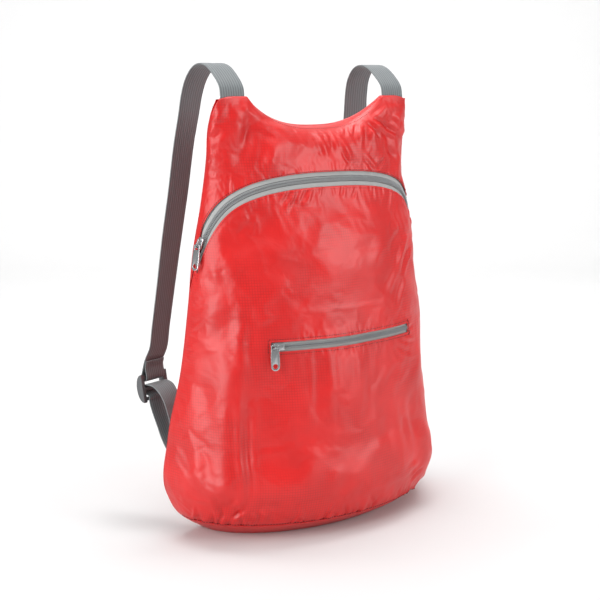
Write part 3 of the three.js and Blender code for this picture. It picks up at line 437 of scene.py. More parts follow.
# Quads of a grid whose points run down its columns, one column after another.
def gridFaces(columns, rows, keep=None, closed=False, first=0):
    i, j = np.meshgrid(np.arange(columns if closed else columns - 1), np.arange(rows - 1), indexing="ij")
    if keep is not None:
        i, j = i[keep], j[keep]
    after = (i + 1) % columns
    quads = np.stack([i * rows + j, after * rows + j, after * rows + j + 1, i * rows + j + 1], -1)
    return (quads.reshape(-1, 4) + first).tolist()


# Quads round a tube whose points run round its rings, one ring after another.
def tubeFaces(rings, sides, first=0):
    i, k = np.meshgrid(np.arange(rings - 1), np.arange(sides), indexing="ij")
    after = (k + 1) % sides
    quads = np.stack([i * sides + k, i * sides + after, (i + 1) * sides + after, (i + 1) * sides + k], -1)
    return (quads.reshape(-1, 4) + first).tolist()


# Points of a tube along a path, from its frames and a closed outline of (side, out) pairs.
def tubeGrid(path, side, out, outline):
    outline = np.asarray(outline, float)
    return path[:, None] + side[:, None] * outline[None, :, :1] + out[:, None] * outline[None, :, 1:]


# Unit side and out vectors square to a path, from a guess of which way is out.
def framesAlong(path, out):
    along = np.gradient(path, axis=0)
    along /= np.linalg.norm(along, axis=1, keepdims=True)
    side = np.cross(out, along)
    side /= np.linalg.norm(side, axis=1, keepdims=True)
    return side, np.cross(along, side)


def ride(made, slot, *nodes):
    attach(made, "bag")
    if nodes:
        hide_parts(*nodes)
    return made


# Puckers along each seam. Where count is the number over the seam, the pairs are the least and the
# greatest length, width and rise in millimetres, and tilt is the most degrees off square to it.
puckers = {
    "archLower": {"count": 44, "length": (5, 20), "width": (0.9, 2.2), "rise": (0.15, 0.7), "tilt": 22},
    "archUpper": {"count": 34, "length": (5, 22), "width": (1.0, 2.4), "rise": (0.15, 0.6), "tilt": 25},
    "pocketLower": {"count": 34, "length": (4, 13), "width": (0.8, 1.9), "rise": (0.15, 0.6), "tilt": 28},
    "pocketUpper": {"count": 34, "length": (4, 13), "width": (0.8, 1.9), "rise": (0.15, 0.55), "tilt": 28},
    "bottom": {"count": 84, "length": (5, 24), "width": (1.2, 3.2), "rise": (0.3, 1.5), "tilt": 24},
    "neck": {"count": 16, "length": (6, 20), "width": (1.2, 3.0), "rise": (0.1, 0.35), "tilt": 30},
    "side": {"count": 22, "length": (8, 26), "width": (1.8, 4.0), "rise": (0.1, 0.4), "tilt": 25},
}


# Random puckers that start on a seam, given as (run, height) places, and lean one way.
def puckersAlong(name, places, direction):
    wanted = puckers[name]
    table = []
    for _ in range(wanted["count"]):
        run, z = places(chance.uniform(0, 1))
        low, high = wanted["length"]
        length = low * (high / low) ** chance.uniform(0, 1)
        turn = direction + chance.uniform(-1, 1) * wanted["tilt"]
        lean = math.radians(turn)
        table.append({
            "run": run + math.sin(lean) * length / 2,
            "z": z + math.cos(lean) * length / 2,
            "length": length,
            "width": chance.uniform(*wanted["width"]),
            "rise": chance.uniform(*wanted["rise"]) * (1 if chance.uniform() < 0.72 else -0.8),
            "turn": turn,
            "bend": chance.uniform(-0.25, 0.25),
            "from": True,
        })
    return table


def onLine(line, first, last, off):
    def place(share):
        across = np.array(mix(first, last, share))
        z = zipEdge(line, across, off)
        return float(runAlong(across, z)), float(z)

    return place


def onSeam(across, first, last):
    def place(share):
        z = np.array(mix(first, last, share))
        return float(runAlong(np.array(across), z)), float(z)

    return place


def onNeck(share):
    across = np.array(mix(-0.62, 0.62, share))
    z = topEdge(across)
    return float(runAlong(across, z)), float(z)


half = arch["shown"] / 2
slotHalf = pocket["shown"] / 2
bottomPlaces = onLine(lambda a: np.full(np.shape(a), bag["bottomSeam"]), -0.95, 0.95, 0)
frontCreases += (
    puckersAlong("archLower", onLine(archLine, -0.85, 0.96, -half), 180)
    + puckersAlong("pocketLower", onLine(pocketLine, -pocketEnd, pocketEnd, -slotHalf), 180)
    + puckersAlong("pocketUpper", onLine(pocketLine, -pocketEnd, pocketEnd, slotHalf), 0)
    + puckersAlong("bottom", bottomPlaces, 0)
    + puckersAlong("side", onSeam(-0.99, 20, 235), 90)
    + puckersAlong("side", onSeam(0.99, 20, 235), -90)
)
yokeCreases += (
    puckersAlong("archUpper", onLine(archLine, -0.8, 0.96, half), 0)
    + puckersAlong("neck", onNeck, 180)
    + puckersAlong("side", onSeam(-0.99, 250, 375), 90)
    + puckersAlong("side", onSeam(0.99, 250, 375), -90)
)
print("creases", len(frontCreases), len(yokeCreases))

# The slack cloth, simulated. It grows a little between its seams and the soft filling holds it
# near its shape, so it buckles into small folds. A held share of 1 is sewn fast.
slack = {
    "columns": 130,
    "rows": 150,
    "backColumns": 96,
    "backRows": 130,
    "frames": 20,
    "growth": 0.03,
    "held": (0.02, 0.07),
    "sewn": 7.0,  # millimetres from a seam over which the cloth comes free
    "patch": 45.0,  # millimetres across the tighter and slacker patches
    "rounds": 50,  # of smoothing, to take the swell out and leave the small folds
    "gain": 0.34,
    "backGain": 0.32,
    "anchors": (105.0, 62.0),  # below and outside these, the strap ends hold the back
    "cap": 1.6,  # the most millimetres that it may stand out or in
    "mass": 0.3,
    "stiffness": 15.0,
    "bending": 0.5,
}


# Shares across and heights of a grid from the bottom seam to just under the top edge.
def slackGrid(columns, rows, top):
    across = np.linspace(-1, 1, columns)[:, None] * np.ones(rows)
    share = np.linspace(0, 1, rows)[None, :] * np.ones((columns, 1))
    low = bag["bottomSeam"] + 0.5
    return across, mix(low, top(across) - 1.0, share)


# The light hold of the filling, tighter in some patches than in others.
def slackPatches(run, z):
    places = zip(run.ravel() / slack["patch"], z.ravel() / slack["patch"])
    patches = np.array([noise.fractal(Vector((r, h, 3.7)), 1.0, 2.0, 2) for r, h in places])
    least, most = slack["held"]
    return mix(least, most, fadeIn(patches.reshape(run.shape), -0.35, 0.35))


# The share by which each point of the front is held: all of it on the seams and zips.
def slackFront(across, z):
    run = runAlong(across, z)
    side = runAlong(np.sign(across + 1e-9), z)
    zips = np.abs(z - archLine(across)) / np.hypot(1, runSlope(archLine, across)) - arch["shown"] / 2
    level = np.hypot(
        np.maximum(np.abs(z - pocket["height"]) - pocket["shown"] / 2, 0),
        np.maximum(np.abs(run) - pocket["length"] / 2, 0),
    )
    edge = np.minimum(np.minimum(z - bag["bottomSeam"], topEdge(across) - z), np.abs(side - run))
    edge = np.minimum(edge, np.minimum(np.maximum(zips, 0), level))
    return mix(1.0, slackPatches(run, z), fadeIn(edge, 0, slack["sewn"]))


# The same for the back, which is also held where the straps are sewn on.
def slackBack(share, z):
    halfWidth = readSection("width", z) * bag["width"] / 2
    x = share * halfWidth
    edge = np.minimum(np.minimum(z - bag["bottomSeam"], neckline(x) - z), halfWidth - np.abs(x))
    low, aside = slack["anchors"]
    edge = np.minimum(edge, np.maximum(z - low, aside - np.abs(x)))
    return mix(1.0, slackPatches(x + 500.0, z), fadeIn(np.maximum(edge, 0), 0, 2 * slack["sewn"]))


# Heights in millimetres of the simulated cloth over a grid of places, outward.
def settle(place, held, gain):
    made = meshObject("slack cloth", place, gridFaces(*held.shape))
    group = made.vertex_groups.new(name="held")
    for index, weight in enumerate(held.ravel()):
        group.add([index], float(weight), "REPLACE")
    cloth = made.modifiers.new("cloth", "CLOTH")
    settings = cloth.settings
    settings.quality = 5
    settings.mass = slack["mass"]
    settings.tension_stiffness = slack["stiffness"]
    settings.compression_stiffness = slack["stiffness"]
    settings.shear_stiffness = slack["stiffness"] / 3
    settings.bending_stiffness = slack["bending"]
    settings.vertex_group_mass = "held"
    settings.pin_stiffness = 1.0
    settings.shrink_min = -slack["growth"]
    settings.effector_weights.gravity = 0
    cloth.collision_settings.use_collision = False
    cloth.point_cache.frame_start = 1
    cloth.point_cache.frame_end = slack["frames"]
    for frameNumber in range(1, slack["frames"] + 1):
        bpy.context.scene.frame_set(frameNumber)
    shown = made.evaluated_get(bpy.context.evaluated_depsgraph_get()).to_mesh()
    moved = np.empty(len(shown.vertices) * 3)
    shown.vertices.foreach_get("co", moved)
    moved = moved.reshape(place.shape) / millimetre
    bpy.data.objects.remove(made)
    bpy.context.scene.frame_set(1)
    out = np.cross(np.gradient(place, axis=0), np.gradient(place, axis=1))
    out /= np.linalg.norm(out, axis=2, keepdims=True) + 1e-12
    height = ((moved - place) * out).sum(2)
    swell = height
    for _ in range(slack["rounds"]):
        wide = np.pad(swell, 1, mode="edge")
        swell = (2 * swell + wide[:-2, 1:-1] + wide[2:, 1:-1] + wide[1:-1, :-2] + wide[1:-1, 2:]) / 6
    height = (height - swell) * (1 - held) * gain
    print("slack", f"{height.min():.2f} to {height.max():.2f}, spread {height.std():.2f}")
    return slack["cap"] * np.tanh(height / slack["cap"])


# The simulated height at any place, by smooth interpolation.
def slackHeight(across, z, table, top):
    low = bag["bottomSeam"] + 0.5
    columns, rows = table.shape
    u = np.clip((across + 1) / 2, 0, 1) * (columns - 1)
    v = np.clip((z - low) / (top(across) - 1.0 - low), 0, 1) * (rows - 1)
    i, j = np.floor(u).astype(int), np.floor(v).astype(int)
    total = np.zeros(np.shape(z))
    for di in range(-1, 3):
        wide = catmullShare(u - i, di)
        for dj in range(-1, 3):
            cell = table[np.clip(i + di, 0, columns - 1), np.clip(j + dj, 0, rows - 1)]
            total += wide * catmullShare(v - j, dj) * cell
    return total


# The height of the back's top edge at each share of its width.
def backTop(share):
    top = np.full(np.shape(share), bag["height"])
    for _ in range(5):
        top = neckline(share * readSection("width", top) * bag["width"] / 2)
    return top


across, z = slackGrid(slack["columns"], slack["rows"], topEdge)
frontSlack = settle(frontPoint(across, z), slackFront(across, z), slack["gain"])
across, z = slackGrid(slack["backColumns"], slack["backRows"], backTop)
backSlack = -settle(backPoint(across, z), slackBack(across, z), slack["backGain"])


# How much the grid point that many steps on counts at t, on a smooth curve through them all.
def catmullShare(t, step):
    away = np.abs(t - step)
    near = 1.5 * away**3 - 2.5 * away**2 + 1
    far = -0.5 * away**3 + 2.5 * away**2 - 4 * away + 2
    return np.where(away < 1, near, np.where(away < 2, far, 0))


# 1 beside a zip's cloth edges, falling to 0 at 9 millimetres from them.
def nearZips(across, z):
    gap = np.abs(z - archLine(across)) / np.hypot(1, runSlope(archLine, across)) - half
    aside = np.maximum(np.abs(runAlong(across, z)) - pocket["length"] / 2, 0)
    level = np.hypot(np.maximum(np.abs(z - pocket["height"]) - slotHalf, 0), aside)
    return 1 - fadeIn(np.minimum(gap, level), 0, 9)


def fineHeight(table):
    def fine(across, z):
        height = creaseHeight(across, z, table) + slackHeight(across, z, frontSlack, topEdge)
        # The side seams are sewn straight, so little of it reaches them.
        height = height * (1 - 0.85 * fadeIn(np.abs(across), 0.9, 0.985))
        near = nearZips(across, z)
        # Beside a zip the cloth doesn't sink to the tape.
        return np.where(near > 0, mix(height, np.maximum(height, -0.5), near), height)

    return fine


# An sRGB colour such as #c81018 as linear red, green, blue and 1.
def linear(code):
    values = [int(code[i:i + 2], 16) / 255 for i in (1, 3, 5)]
    return [v / 12.92 if v <= 0.04045 else ((v + 0.055) / 1.055) ** 2.4 for v in values] + [1.0]


# Adds a node, sets its properties, and gives its inputs values or links.
def addNode(tree, kind, inputs=None, **settings):
    made = tree.nodes.new("ShaderNode" + kind)
    for name, value in settings.items():
        setattr(made, name, value)
    for key, value in (inputs or {}).items():
        if isinstance(value, bpy.types.NodeSocket):
            tree.links.new(value, made.inputs[key])
        else:
            made.inputs[key].default_value = value
    return made


# A material with a Principled shader. Constants go straight to the shader's sockets.
def newMaterial(name, color, **shader):
    made = bpy.data.materials.new(name)
    made.use_nodes = True
    surface = made.node_tree.nodes["Principled BSDF"]
    surface.inputs["Base Color"].default_value = linear(color)
    for key, value in shader.items():
        surface.inputs[key.replace("_", " ")].default_value = value
    return made, made.node_tree, surface


# Lengths are millimetres.
cloth = {
    "color": "#cd100e",
    "threadColor": "#b40e0c",
    "grid": 2.4,  # between the ripstop's thick threads
    "gridWidth": 0.17,  # share of the grid that a thick thread takes
    "gridPatch": 58.8,  # across the places where the grid shows
    "mottle": 35.7,  # across the slow changes of tone
    "dents": 18.2,  # across the small dents of crumpled cloth
    "dentDepth": 1.6,
    "threadDepth": 0.1,
}


# A noise's scale for features of a size in millimetres.
def perMetre(size):
    return 1 / (size * millimetre)


# 1 on stripes across a coordinate given in metres, pitch in millimetres.
def stripes(tree, coordinate, pitch, share):
    scaled = addNode(tree, "Math", {0: coordinate, 1: perMetre(pitch)}, operation="MULTIPLY")
    wave = addNode(tree, "Math", {0: scaled.outputs[0], 1: 1.0}, operation="PINGPONG")
    return addNode(
        tree,
        "MapRange",
        {"Value": wave.outputs[0], "From Min": 1 - share * 1.6, "From Max": 1 - share * 0.5},
        interpolation_type="SMOOTHSTEP",
    )


# Ripstop nylon with a soft calendered sheen: a fine grid of thick threads, slightly mottled.
def makeRipstop():
    made, tree, surface = newMaterial(
        "Ripstop nylon, calendered", cloth["color"],
        Roughness=0.4, Specular_IOR_Level=0.6,
    )
    place = addNode(tree, "UVMap", uv_map="cloth")
    parts = addNode(tree, "SeparateXYZ", {0: place.outputs[0]})
    # The grid gives the eye the squares of thick threads that catch the light.
    up = stripes(tree, parts.outputs[0], cloth["grid"] / 2, cloth["gridWidth"])
    level = stripes(tree, parts.outputs[1], cloth["grid"] / 2, cloth["gridWidth"])
    grid = addNode(tree, "Math", {0: up.outputs[0], 1: level.outputs[0]}, operation="MAXIMUM")
    # Painted light: the grid shows in patches, standing in for the places where the light catches the
    # threads.
    lightCatchPatches = addNode(tree, "TexNoise", {
        "Vector": place.outputs[0], "Scale": perMetre(cloth["gridPatch"]), "Detail": 2.0,
    })
    seen = addNode(tree, "MapRange", {
        "Value": lightCatchPatches.outputs[0], "From Min": 0.42, "From Max": 0.6, "To Min": 0.1,
    })
    shown = addNode(tree, "Math", {0: grid.outputs[0], 1: seen.outputs[0]}, operation="MULTIPLY")
    plain, thread = linear(cloth["color"]), linear(cloth["threadColor"])
    shade = addNode(tree, "Mix", {6: plain, 7: thread}, data_type="RGBA")
    tree.links.new(shown.outputs[0], shade.inputs[0])
    # Slow mottling keeps the large faces from looking dyed in one piece.
    mottle = addNode(tree, "TexNoise", {
        "Vector": place.outputs[0], "Scale": perMetre(cloth["mottle"]), "Detail": 3.0, "Roughness": 0.55,
    })
    amount = addNode(tree, "MapRange", {
        "Value": mottle.outputs[0], "From Min": 0.3, "From Max": 0.7, "To Min": 0.88, "To Max": 1.08,
    })
    toned = addNode(tree, "HueSaturation", {"Color": shade.outputs[2], "Value": amount.outputs[0]})
    tree.links.new(toned.outputs[0], surface.inputs["Base Color"])
    # Crumpled cloth has small soft dents all over, on top of the modelled folds.
    crumple = addNode(tree, "TexNoise", {
        "Vector": place.outputs[0], "Scale": perMetre(cloth["dents"]), "Detail": 4.0, "Roughness": 0.5,
        "Distortion": 0.6,
    })
    soft = addNode(tree, "Bump", {
        "Strength": 0.32, "Distance": cloth["dentDepth"] * millimetre, "Height": crumple.outputs[0],
    })
    weave = addNode(tree, "Bump", {
        "Strength": 0.25, "Distance": cloth["threadDepth"] * millimetre, "Height": shown.outputs[0],
        "Normal": soft.outputs[0],
    })
    tree.links.new(weave.outputs[0], surface.inputs["Normal"])
    return made


# Lengths are millimetres. A band is a painted dark line, partly a line of stitches and partly painted
# shadow where the coil and the cloth's
# edge meet the tape: its place from the inner edge, its half width, and how dark it is.
tape = {
    "mainColor": "#aeb0af", "mainBands": [(0.1, 0.3, 0.9), (2.35, 0.42, 0.75), (6.8, 0.6, 0.8)],
    "pocketColor": "#a0a3a2", "pocketBands": [(0.1, 0.3, 0.9), (4.6, 0.4, 0.35)],
    "shadowColor": "#3a3c3e",
    "cord": 0.45,  # between the lengthwise cords
    "pick": 0.35,  # between the crosswise yarns
    "share": 0.4,  # of the pitch that a cord or a yarn takes
    "depth": 0.15,
}


# Woven polyester zip tape: its fine cords give a dull, faintly lined face.
def makeTape(name, color, bands):
    made, tree, surface = newMaterial(name, color, Roughness=0.78, Specular_IOR_Level=0.3, Sheen_Weight=0.2)
    place = addNode(tree, "UVMap", uv_map="cloth")
    parts = addNode(tree, "SeparateXYZ", {0: place.outputs[0]})
    ribs = stripes(tree, parts.outputs[1], tape["cord"], tape["share"])
    picks = stripes(tree, parts.outputs[0], tape["pick"], tape["share"])
    toned = None
    off = addNode(tree, "Math", {0: parts.outputs[1]}, operation="ABSOLUTE")
    # Painted shadow: each band darkens the tape towards the shadow colour beside the coil and under the
    # cloth's edge, where stitches also run.
    for middle, halfWidth, dark in bands:
        away = addNode(tree, "Math", {0: off.outputs[0], 1: middle * millimetre}, operation="SUBTRACT")
        near = addNode(tree, "Math", {0: away.outputs[0]}, operation="ABSOLUTE")
        amount = addNode(tree, "MapRange", {
            "Value": near.outputs[0], "From Min": halfWidth * 0.5 * millimetre,
            "From Max": halfWidth * millimetre, "To Min": dark, "To Max": 0.0,
        })
        before = toned.outputs[2] if toned else linear(color)
        shadow = linear(tape["shadowColor"])
        toned = addNode(tree, "Mix", {0: amount.outputs[0], 6: before, 7: shadow}, data_type="RGBA")
    tree.links.new(toned.outputs[2], surface.inputs["Base Color"])
    both = addNode(tree, "Math", {0: ribs.outputs[0], 1: picks.outputs[0]}, operation="MULTIPLY")
    depth = tape["depth"] * millimetre
    bump = addNode(tree, "Bump", {"Strength": 0.5, "Distance": depth, "Height": both.outputs[0]})
    tree.links.new(bump.outputs[0], surface.inputs["Normal"])
    return made


webbing = {
    "color": "#74797b", "grooveShadeColor": "#585d5f",
    "width": 25.0, "thickness": 1.5,
    "ribs": 10, "ribDepth": 0.22,
    "yarn": 0.7,  # millimetres between the slanting yarns
    "yarnDepth": 0.12,
}


# Ribbed polypropylene webbing: lengthwise ribs with fine slanting yarns, and painted shade in the grooves
# between the ribs.
def makeWebbing():
    made, tree, surface = newMaterial(
        "Ribbed webbing, polypropylene", webbing["color"],
        Roughness=0.62, Specular_IOR_Level=0.4, Sheen_Weight=0.15,
    )
    place = addNode(tree, "UVMap", uv_map="cloth")
    parts = addNode(tree, "SeparateXYZ", {0: place.outputs[0]})
    slant = addNode(tree, "Math", {0: parts.outputs[0], 1: parts.outputs[1]}, operation="ADD")
    yarns = stripes(tree, slant.outputs[0], webbing["yarn"], 0.45)
    # Painted shade: the grooves between the ribs are coloured darker.
    grooves = stripes(tree, parts.outputs[0], webbing["width"] / webbing["ribs"] / 2, 0.3)
    plain, dark = linear(webbing["color"]), linear(webbing["grooveShadeColor"])
    shade = addNode(tree, "Mix", {0: grooves.outputs[0], 6: plain, 7: dark}, data_type="RGBA")
    tree.links.new(shade.outputs[2], surface.inputs["Base Color"])
    depth = webbing["yarnDepth"] * millimetre
    bump = addNode(tree, "Bump", {"Strength": 0.3, "Distance": depth, "Height": yarns.outputs[0]})
    tree.links.new(bump.outputs[0], surface.inputs["Normal"])
    return made


ripstop = makeRipstop()
mainTape = makeTape("Zip tape, woven polyester", tape["mainColor"], tape["mainBands"])
pocketTape = makeTape("Zip tape, woven polyester, darker", tape["pocketColor"], tape["pocketBands"])
ribbed = makeWebbing()
# Nylon coils shine a little more than the tape, so their turns catch the light.
coilNylon, _, _ = newMaterial("Zip coil, nylon", "#9b9ea0", Roughness=0.42)
pocketNylon, _, _ = newMaterial("Zip coil, nylon, darker", "#94989a", Roughness=0.42)
# Plated metal gives small bright glints on the sliders and pullers.
plated, _, _ = newMaterial("Zinc casting, nickel-plated", "#c4c6c8", Metallic=1.0, Roughness=0.24)
# Moulded plastic is dull with a soft edge light.
acetal, _, _ = newMaterial("Acetal, moulded", "#58595b", Roughness=0.5)
# Red thread sinks into the cloth. The dark thread is near black, partly thread colour and partly painted
# shade, so its rows draw fine shadow lines along seams and edges.
redThread, _, _ = newMaterial("Sewing thread, polyester", "#b0121b", Roughness=0.6)
threadAndShade, _, _ = newMaterial("Sewing thread, near black as painted shade", "#4a1518", Roughness=0.6)
print("materials", len(bpy.data.materials))


def clothUvs(across, z):
    return np.stack([runAlong(across, z), z], -1)


# Adds columns at both ends that turn the cloth in towards the side seam.
def withSeamEnds(points, uvs):
    inward, back = [0.3, 1.1, 3.0], [1.1, 1.65, 1.75]
    left = [points[0] + np.array([dx, dy, 0]) for dx, dy in zip(inward, back)]
    right = [points[-1] + np.array([-dx, dy, 0]) for dx, dy in zip(inward, back)]
    across = [uvs[0] - np.array([1.0 + k, 0]) for k in range(3)]
    beyond = [uvs[-1] + np.array([1.0 + k, 0]) for k in range(3)]
    points = np.concatenate([left[::-1], points, right])
    return points, np.concatenate([across[::-1], uvs, beyond])


# The cloth's grids: columns over the front, rows, and how the hems turn in, as distances past
# the edge and depths behind the cloth's face
shell = {"columns": 300, "frontRows": (120, 8, 96), "yokeRows": 120, "backColumns": 150, "backRows": 190}
hem = [(0.35, 0.12), (0.55, 0.42), (0.35, 0.75), (-0.6, 0.95), (-4.5, 1.0)]
seamRoll = [(-0.35, 2.6), (-0.3, 1.2), (-0.15, 0.4)]

slotColumns = np.array([-pocketEnd, pocketEnd])
evenColumns = np.linspace(-1, 1, shell["columns"] + 1)
evenColumns = evenColumns[np.abs(evenColumns[:, None] - slotColumns).min(axis=1) > 0.003]
columns = np.sort(np.concatenate([evenColumns, slotColumns]))


def frontCloth():
    fine = fineHeight(frontCreases)
    low, slot, high = shell["frontRows"]
    bottom = pocket["height"] - slotHalf
    rows = []
    for off, inset in seamRoll:
        rows.append((np.full(columns.shape, bag["bottomSeam"] + off), inset))
    heights = np.concatenate([
        np.linspace(bag["bottomSeam"] + 0.1, bottom, low + 1),
        np.linspace(bottom, bottom + pocket["shown"], slot + 1)[1:],
    ])
    rows += [(np.full(columns.shape, z), 0.0) for z in heights]
    top = archEdge(columns, -1)
    for share in np.linspace(0, 1, high + 1)[1:]:
        rows.append((mix(bottom + pocket["shown"], top, share), 0.0))
    for off, inset in hem:
        rows.append((archEdge(columns, -1, -off), inset))
    z = np.array([row[0] for row in rows])
    across = np.broadcast_to(columns, z.shape)
    insets = np.array([row[1] for row in rows])[:, None]
    points = np.stack([frontPoint(across[j], z[j], insets[j, 0], fine) for j in range(len(rows))])
    points, uvs = np.swapaxes(points, 0, 1), np.swapaxes(clothUvs(across, z), 0, 1)
    points, uvs = withSeamEnds(points, uvs)
    middle = (columns[:-1] + columns[1:]) / 2
    inSlot = np.zeros((len(points) - 1, len(rows) - 1), bool)
    first = len(seamRoll) + low
    inSlot[3:-3, first:first + slot] = (np.abs(middle) < pocketEnd)[:, None]
    faces = gridFaces(len(points), len(rows), ~inSlot)
    return meshObject("front_cloth", points, faces, uvs, [ripstop])


# The rim's section is in millimetres, into the slot and inward from the cloth's face.
welt = {
    "profile": [
        (-0.6, 0.25), (-0.5, -0.1), (0.0, -0.35), (0.45, -0.2),
        (0.7, 0.2), (0.6, 0.7), (0.1, 1.05), (-3.0, 1.1),
    ],
    "alongSlot": 130,
    "overSlot": 10,
}


# The cloth's folded edge round the pocket zip: a rounded rim that turns in to the tape.
def pocketWelt():
    fine = fineHeight(frontCreases)
    corners = []
    for end in (1, -1):
        for share in np.linspace(-end, end, welt["alongSlot"])[:-1]:
            corners.append((share * pocketEnd, -end, 0, end))
        for share in np.linspace(-end, end, welt["overSlot"])[:-1]:
            corners.append((end * pocketEnd, share, -end, 0))
    points, uvs = [], []
    for a, level, dx, dz in corners:
        atCorner = abs(abs(a) - pocketEnd) < 1e-9 and abs(abs(level) - 1) < 1e-9
        if atCorner:
            dx, dz = -np.sign(a), -np.sign(level)
        line = []
        for into, inset in welt["profile"]:
            across = a + dx * into * perMillimetre
            z = pocket["height"] + level * slotHalf + dz * into
            line.append((across, z, inset))
        across, z, inset = (np.array(v) for v in zip(*line))
        points.append(np.stack([frontPoint(across[k], z[k], inset[k], fine) for k in range(len(line))]))
        uvs.append(clothUvs(across, z))
    faces = gridFaces(len(points), len(welt["profile"]), closed=True)
    return meshObject("pocket_welt", np.array(points), faces, np.array(uvs), [ripstop])


def yokeCloth():
    fine = fineHeight(yokeCreases)
    low = archEdge(columns, 1)
    top = topEdge(columns)
    rows = []
    for off, inset in hem[::-1]:
        rows.append((archEdge(columns, 1, -off), inset))
    for share in np.linspace(0, 1, shell["yokeRows"]):
        rows.append((mix(low, top, 1 - (1 - share) ** 1.8), 0.0))
    points = np.stack([frontPoint(columns, z, inset, fine) for z, inset in rows])
    uvs = np.stack([clothUvs(columns, z) for z, _ in rows])
    # The cloth rolls over the neckline to the seam at its back.
    seam = readSection("seam", top) * bag["depth"]
    edge = points[-1]
    cap, capUvs = [], []
    for turn in np.linspace(0, math.pi, 9)[1:]:
        place = edge.copy()
        place[:, 1] = mix(edge[:, 1], seam, (1 - math.cos(turn)) / 2)
        place[:, 2] += 0.9 * math.sin(turn)
        cap.append(place)
        capUvs.append(uvs[-1] + np.array([0, turn]))
    points = np.swapaxes(np.concatenate([points, cap]), 0, 1)
    uvs = np.swapaxes(np.concatenate([uvs, capUvs]), 0, 1)
    points, uvs = withSeamEnds(points, uvs)
    faces = gridFaces(points.shape[0], points.shape[1])
    return meshObject("yoke_cloth", points, faces, uvs, [ripstop])


def backCloth():
    shares = np.sin(np.linspace(1.3, -1.3, shell["backColumns"])) / math.sin(1.3)
    top = backTop(shares)
    rows = [(np.full(shares.shape, bag["bottomSeam"] + off), inset) for off, inset in seamRoll]
    for share in np.linspace(0, 1, shell["backRows"]):
        rows.append((mix(bag["bottomSeam"] + 0.1, top, 1 - (1 - share) ** 1.5), 0.0))
    points = np.stack([backPoint(shares, z, inset) for z, inset in rows])
    across = np.broadcast_to(shares, points.shape[:2])
    points[:, :, 1] += slackHeight(across, points[:, :, 2], backSlack, backTop)
    uvs = points[:, :, [0, 2]].copy()
    points, uvs = np.swapaxes(points, 0, 1), np.swapaxes(uvs, 0, 1)
    inward, ahead = [0.5, 1.4, 3.2], [0.15, 0.3, 0.35]
    first = [points[0] - np.array([dx, dy, 0]) for dx, dy in zip(inward, ahead)]
    last = [points[-1] + np.array([dx, -dy, 0]) for dx, dy in zip(inward, ahead)]
    points = np.concatenate([first[::-1], points, last])
    uvs = np.concatenate([[uvs[0]] * 3, uvs, [uvs[-1]] * 3])
    faces = gridFaces(points.shape[0], points.shape[1])
    return meshObject("back_cloth", points, faces, uvs, [ripstop])


# The base: a rim that turns in under the bottom seam, rounds over and lies on the floor.
def bottomCloth():
    frontCount, backCount = 260, 110
    ahead, behind = np.linspace(-1, 1, frontCount + 1), np.linspace(1, -1, backCount + 1)
    around = np.concatenate([ahead[:-1], behind[:-1]])
    isFront = np.arange(len(around)) < frontCount
    rows = [(bag["bottomSeam"] - 0.4, 2.6), (bag["bottomSeam"] - 0.35, 1.1), (bag["bottomSeam"] - 0.5, 0.4)]
    rows += [(z, 0.0) for z in np.linspace(bag["bottomSeam"] - 0.8, 0.0, 16)]
    points = []
    for z, inset in rows:
        heights = np.full(around.shape, z)
        front = frontPoint(around, heights, inset)
        back = backPoint(around, heights, inset)
        back[:, 0] = around * (readSection("width", heights) * bag["width"] / 2 - inset)
        points.append(np.where(isFront[:, None], front, back))
    middle = np.array([0.0, 0.0, 0.0])
    for share in (0.97, 0.9, 0.75, 0.5, 0.25, 0.02):
        ring = points[len(rows) - 1] * share + middle * (1 - share)
        points.append(ring)
    points = np.swapaxes(np.array(points), 0, 1)
    uvs = points[:, :, [0, 1]].copy()
    uvs[:, :, 1] += points[:, :, 2]
    faces = gridFaces(points.shape[0], points.shape[1], closed=True)
    made = meshObject("bottom_cloth", points, [face[::-1] for face in faces], uvs, [ripstop])
    return made


def build(slot, maker, *nodes):
    made = ride(maker(), slot, *nodes)
    print(made.name, len(made.data.polygons))
    return made


build("ripstop_nylon", frontCloth, "front_panel")
build("ripstop_nylon", pocketWelt)
build("ripstop_nylon", yokeCloth, "yoke_panel")
build("ripstop_nylon", backCloth, "back_panel")
build("ripstop_nylon", bottomCloth, "bottom_panel")

# Points, side and out vectors along a zip at equal steps, with the run along it in millimetres.
def zipStations(line, first, last, inset, count=4000):
    across = np.linspace(first, last, count)
    middle = frontPoint(across, line(across), inset)
    a, z = zipPlace(line, across, 1.0)
    above = frontPoint(a, z, inset)
    run = np.concatenate([[0], np.cumsum(np.linalg.norm(np.diff(middle, axis=0), axis=1))])
    along = np.gradient(middle, axis=0)
    along /= np.linalg.norm(along, axis=1, keepdims=True)
    side = above - middle
    side -= along * (side * along).sum(axis=1, keepdims=True)
    side /= np.linalg.norm(side, axis=1, keepdims=True)
    return {"middle": middle, "side": side, "out": np.cross(along, side), "run": run, "across": across}


# The stations' frames at given runs along the zip.
def atRun(stations, run):
    found = {}
    for key in ("middle", "side", "out"):
        found[key] = np.stack([np.interp(run, stations["run"], stations[key][:, k]) for k in range(3)], -1)
    return found


tapeDepth = 1.55
zipLooks = {
    "main": {
        "line": archLine, "first": -1.0, "last": 1.0, "slider": arch["slider"], "shown": arch["shown"],
        "pitch": 1.55, "coilHalf": 1.95, "wire": 0.3, "tape": mainTape, "coil": coilNylon,
    },
    "pocket": {
        "line": pocketLine, "first": -pocketEnd, "last": pocketEnd, "slider": pocketSlider,
        "shown": pocket["shown"],
        "pitch": 1.4, "coilHalf": 1.7, "wire": 0.27, "tape": pocketTape, "coil": pocketNylon,
    },
}


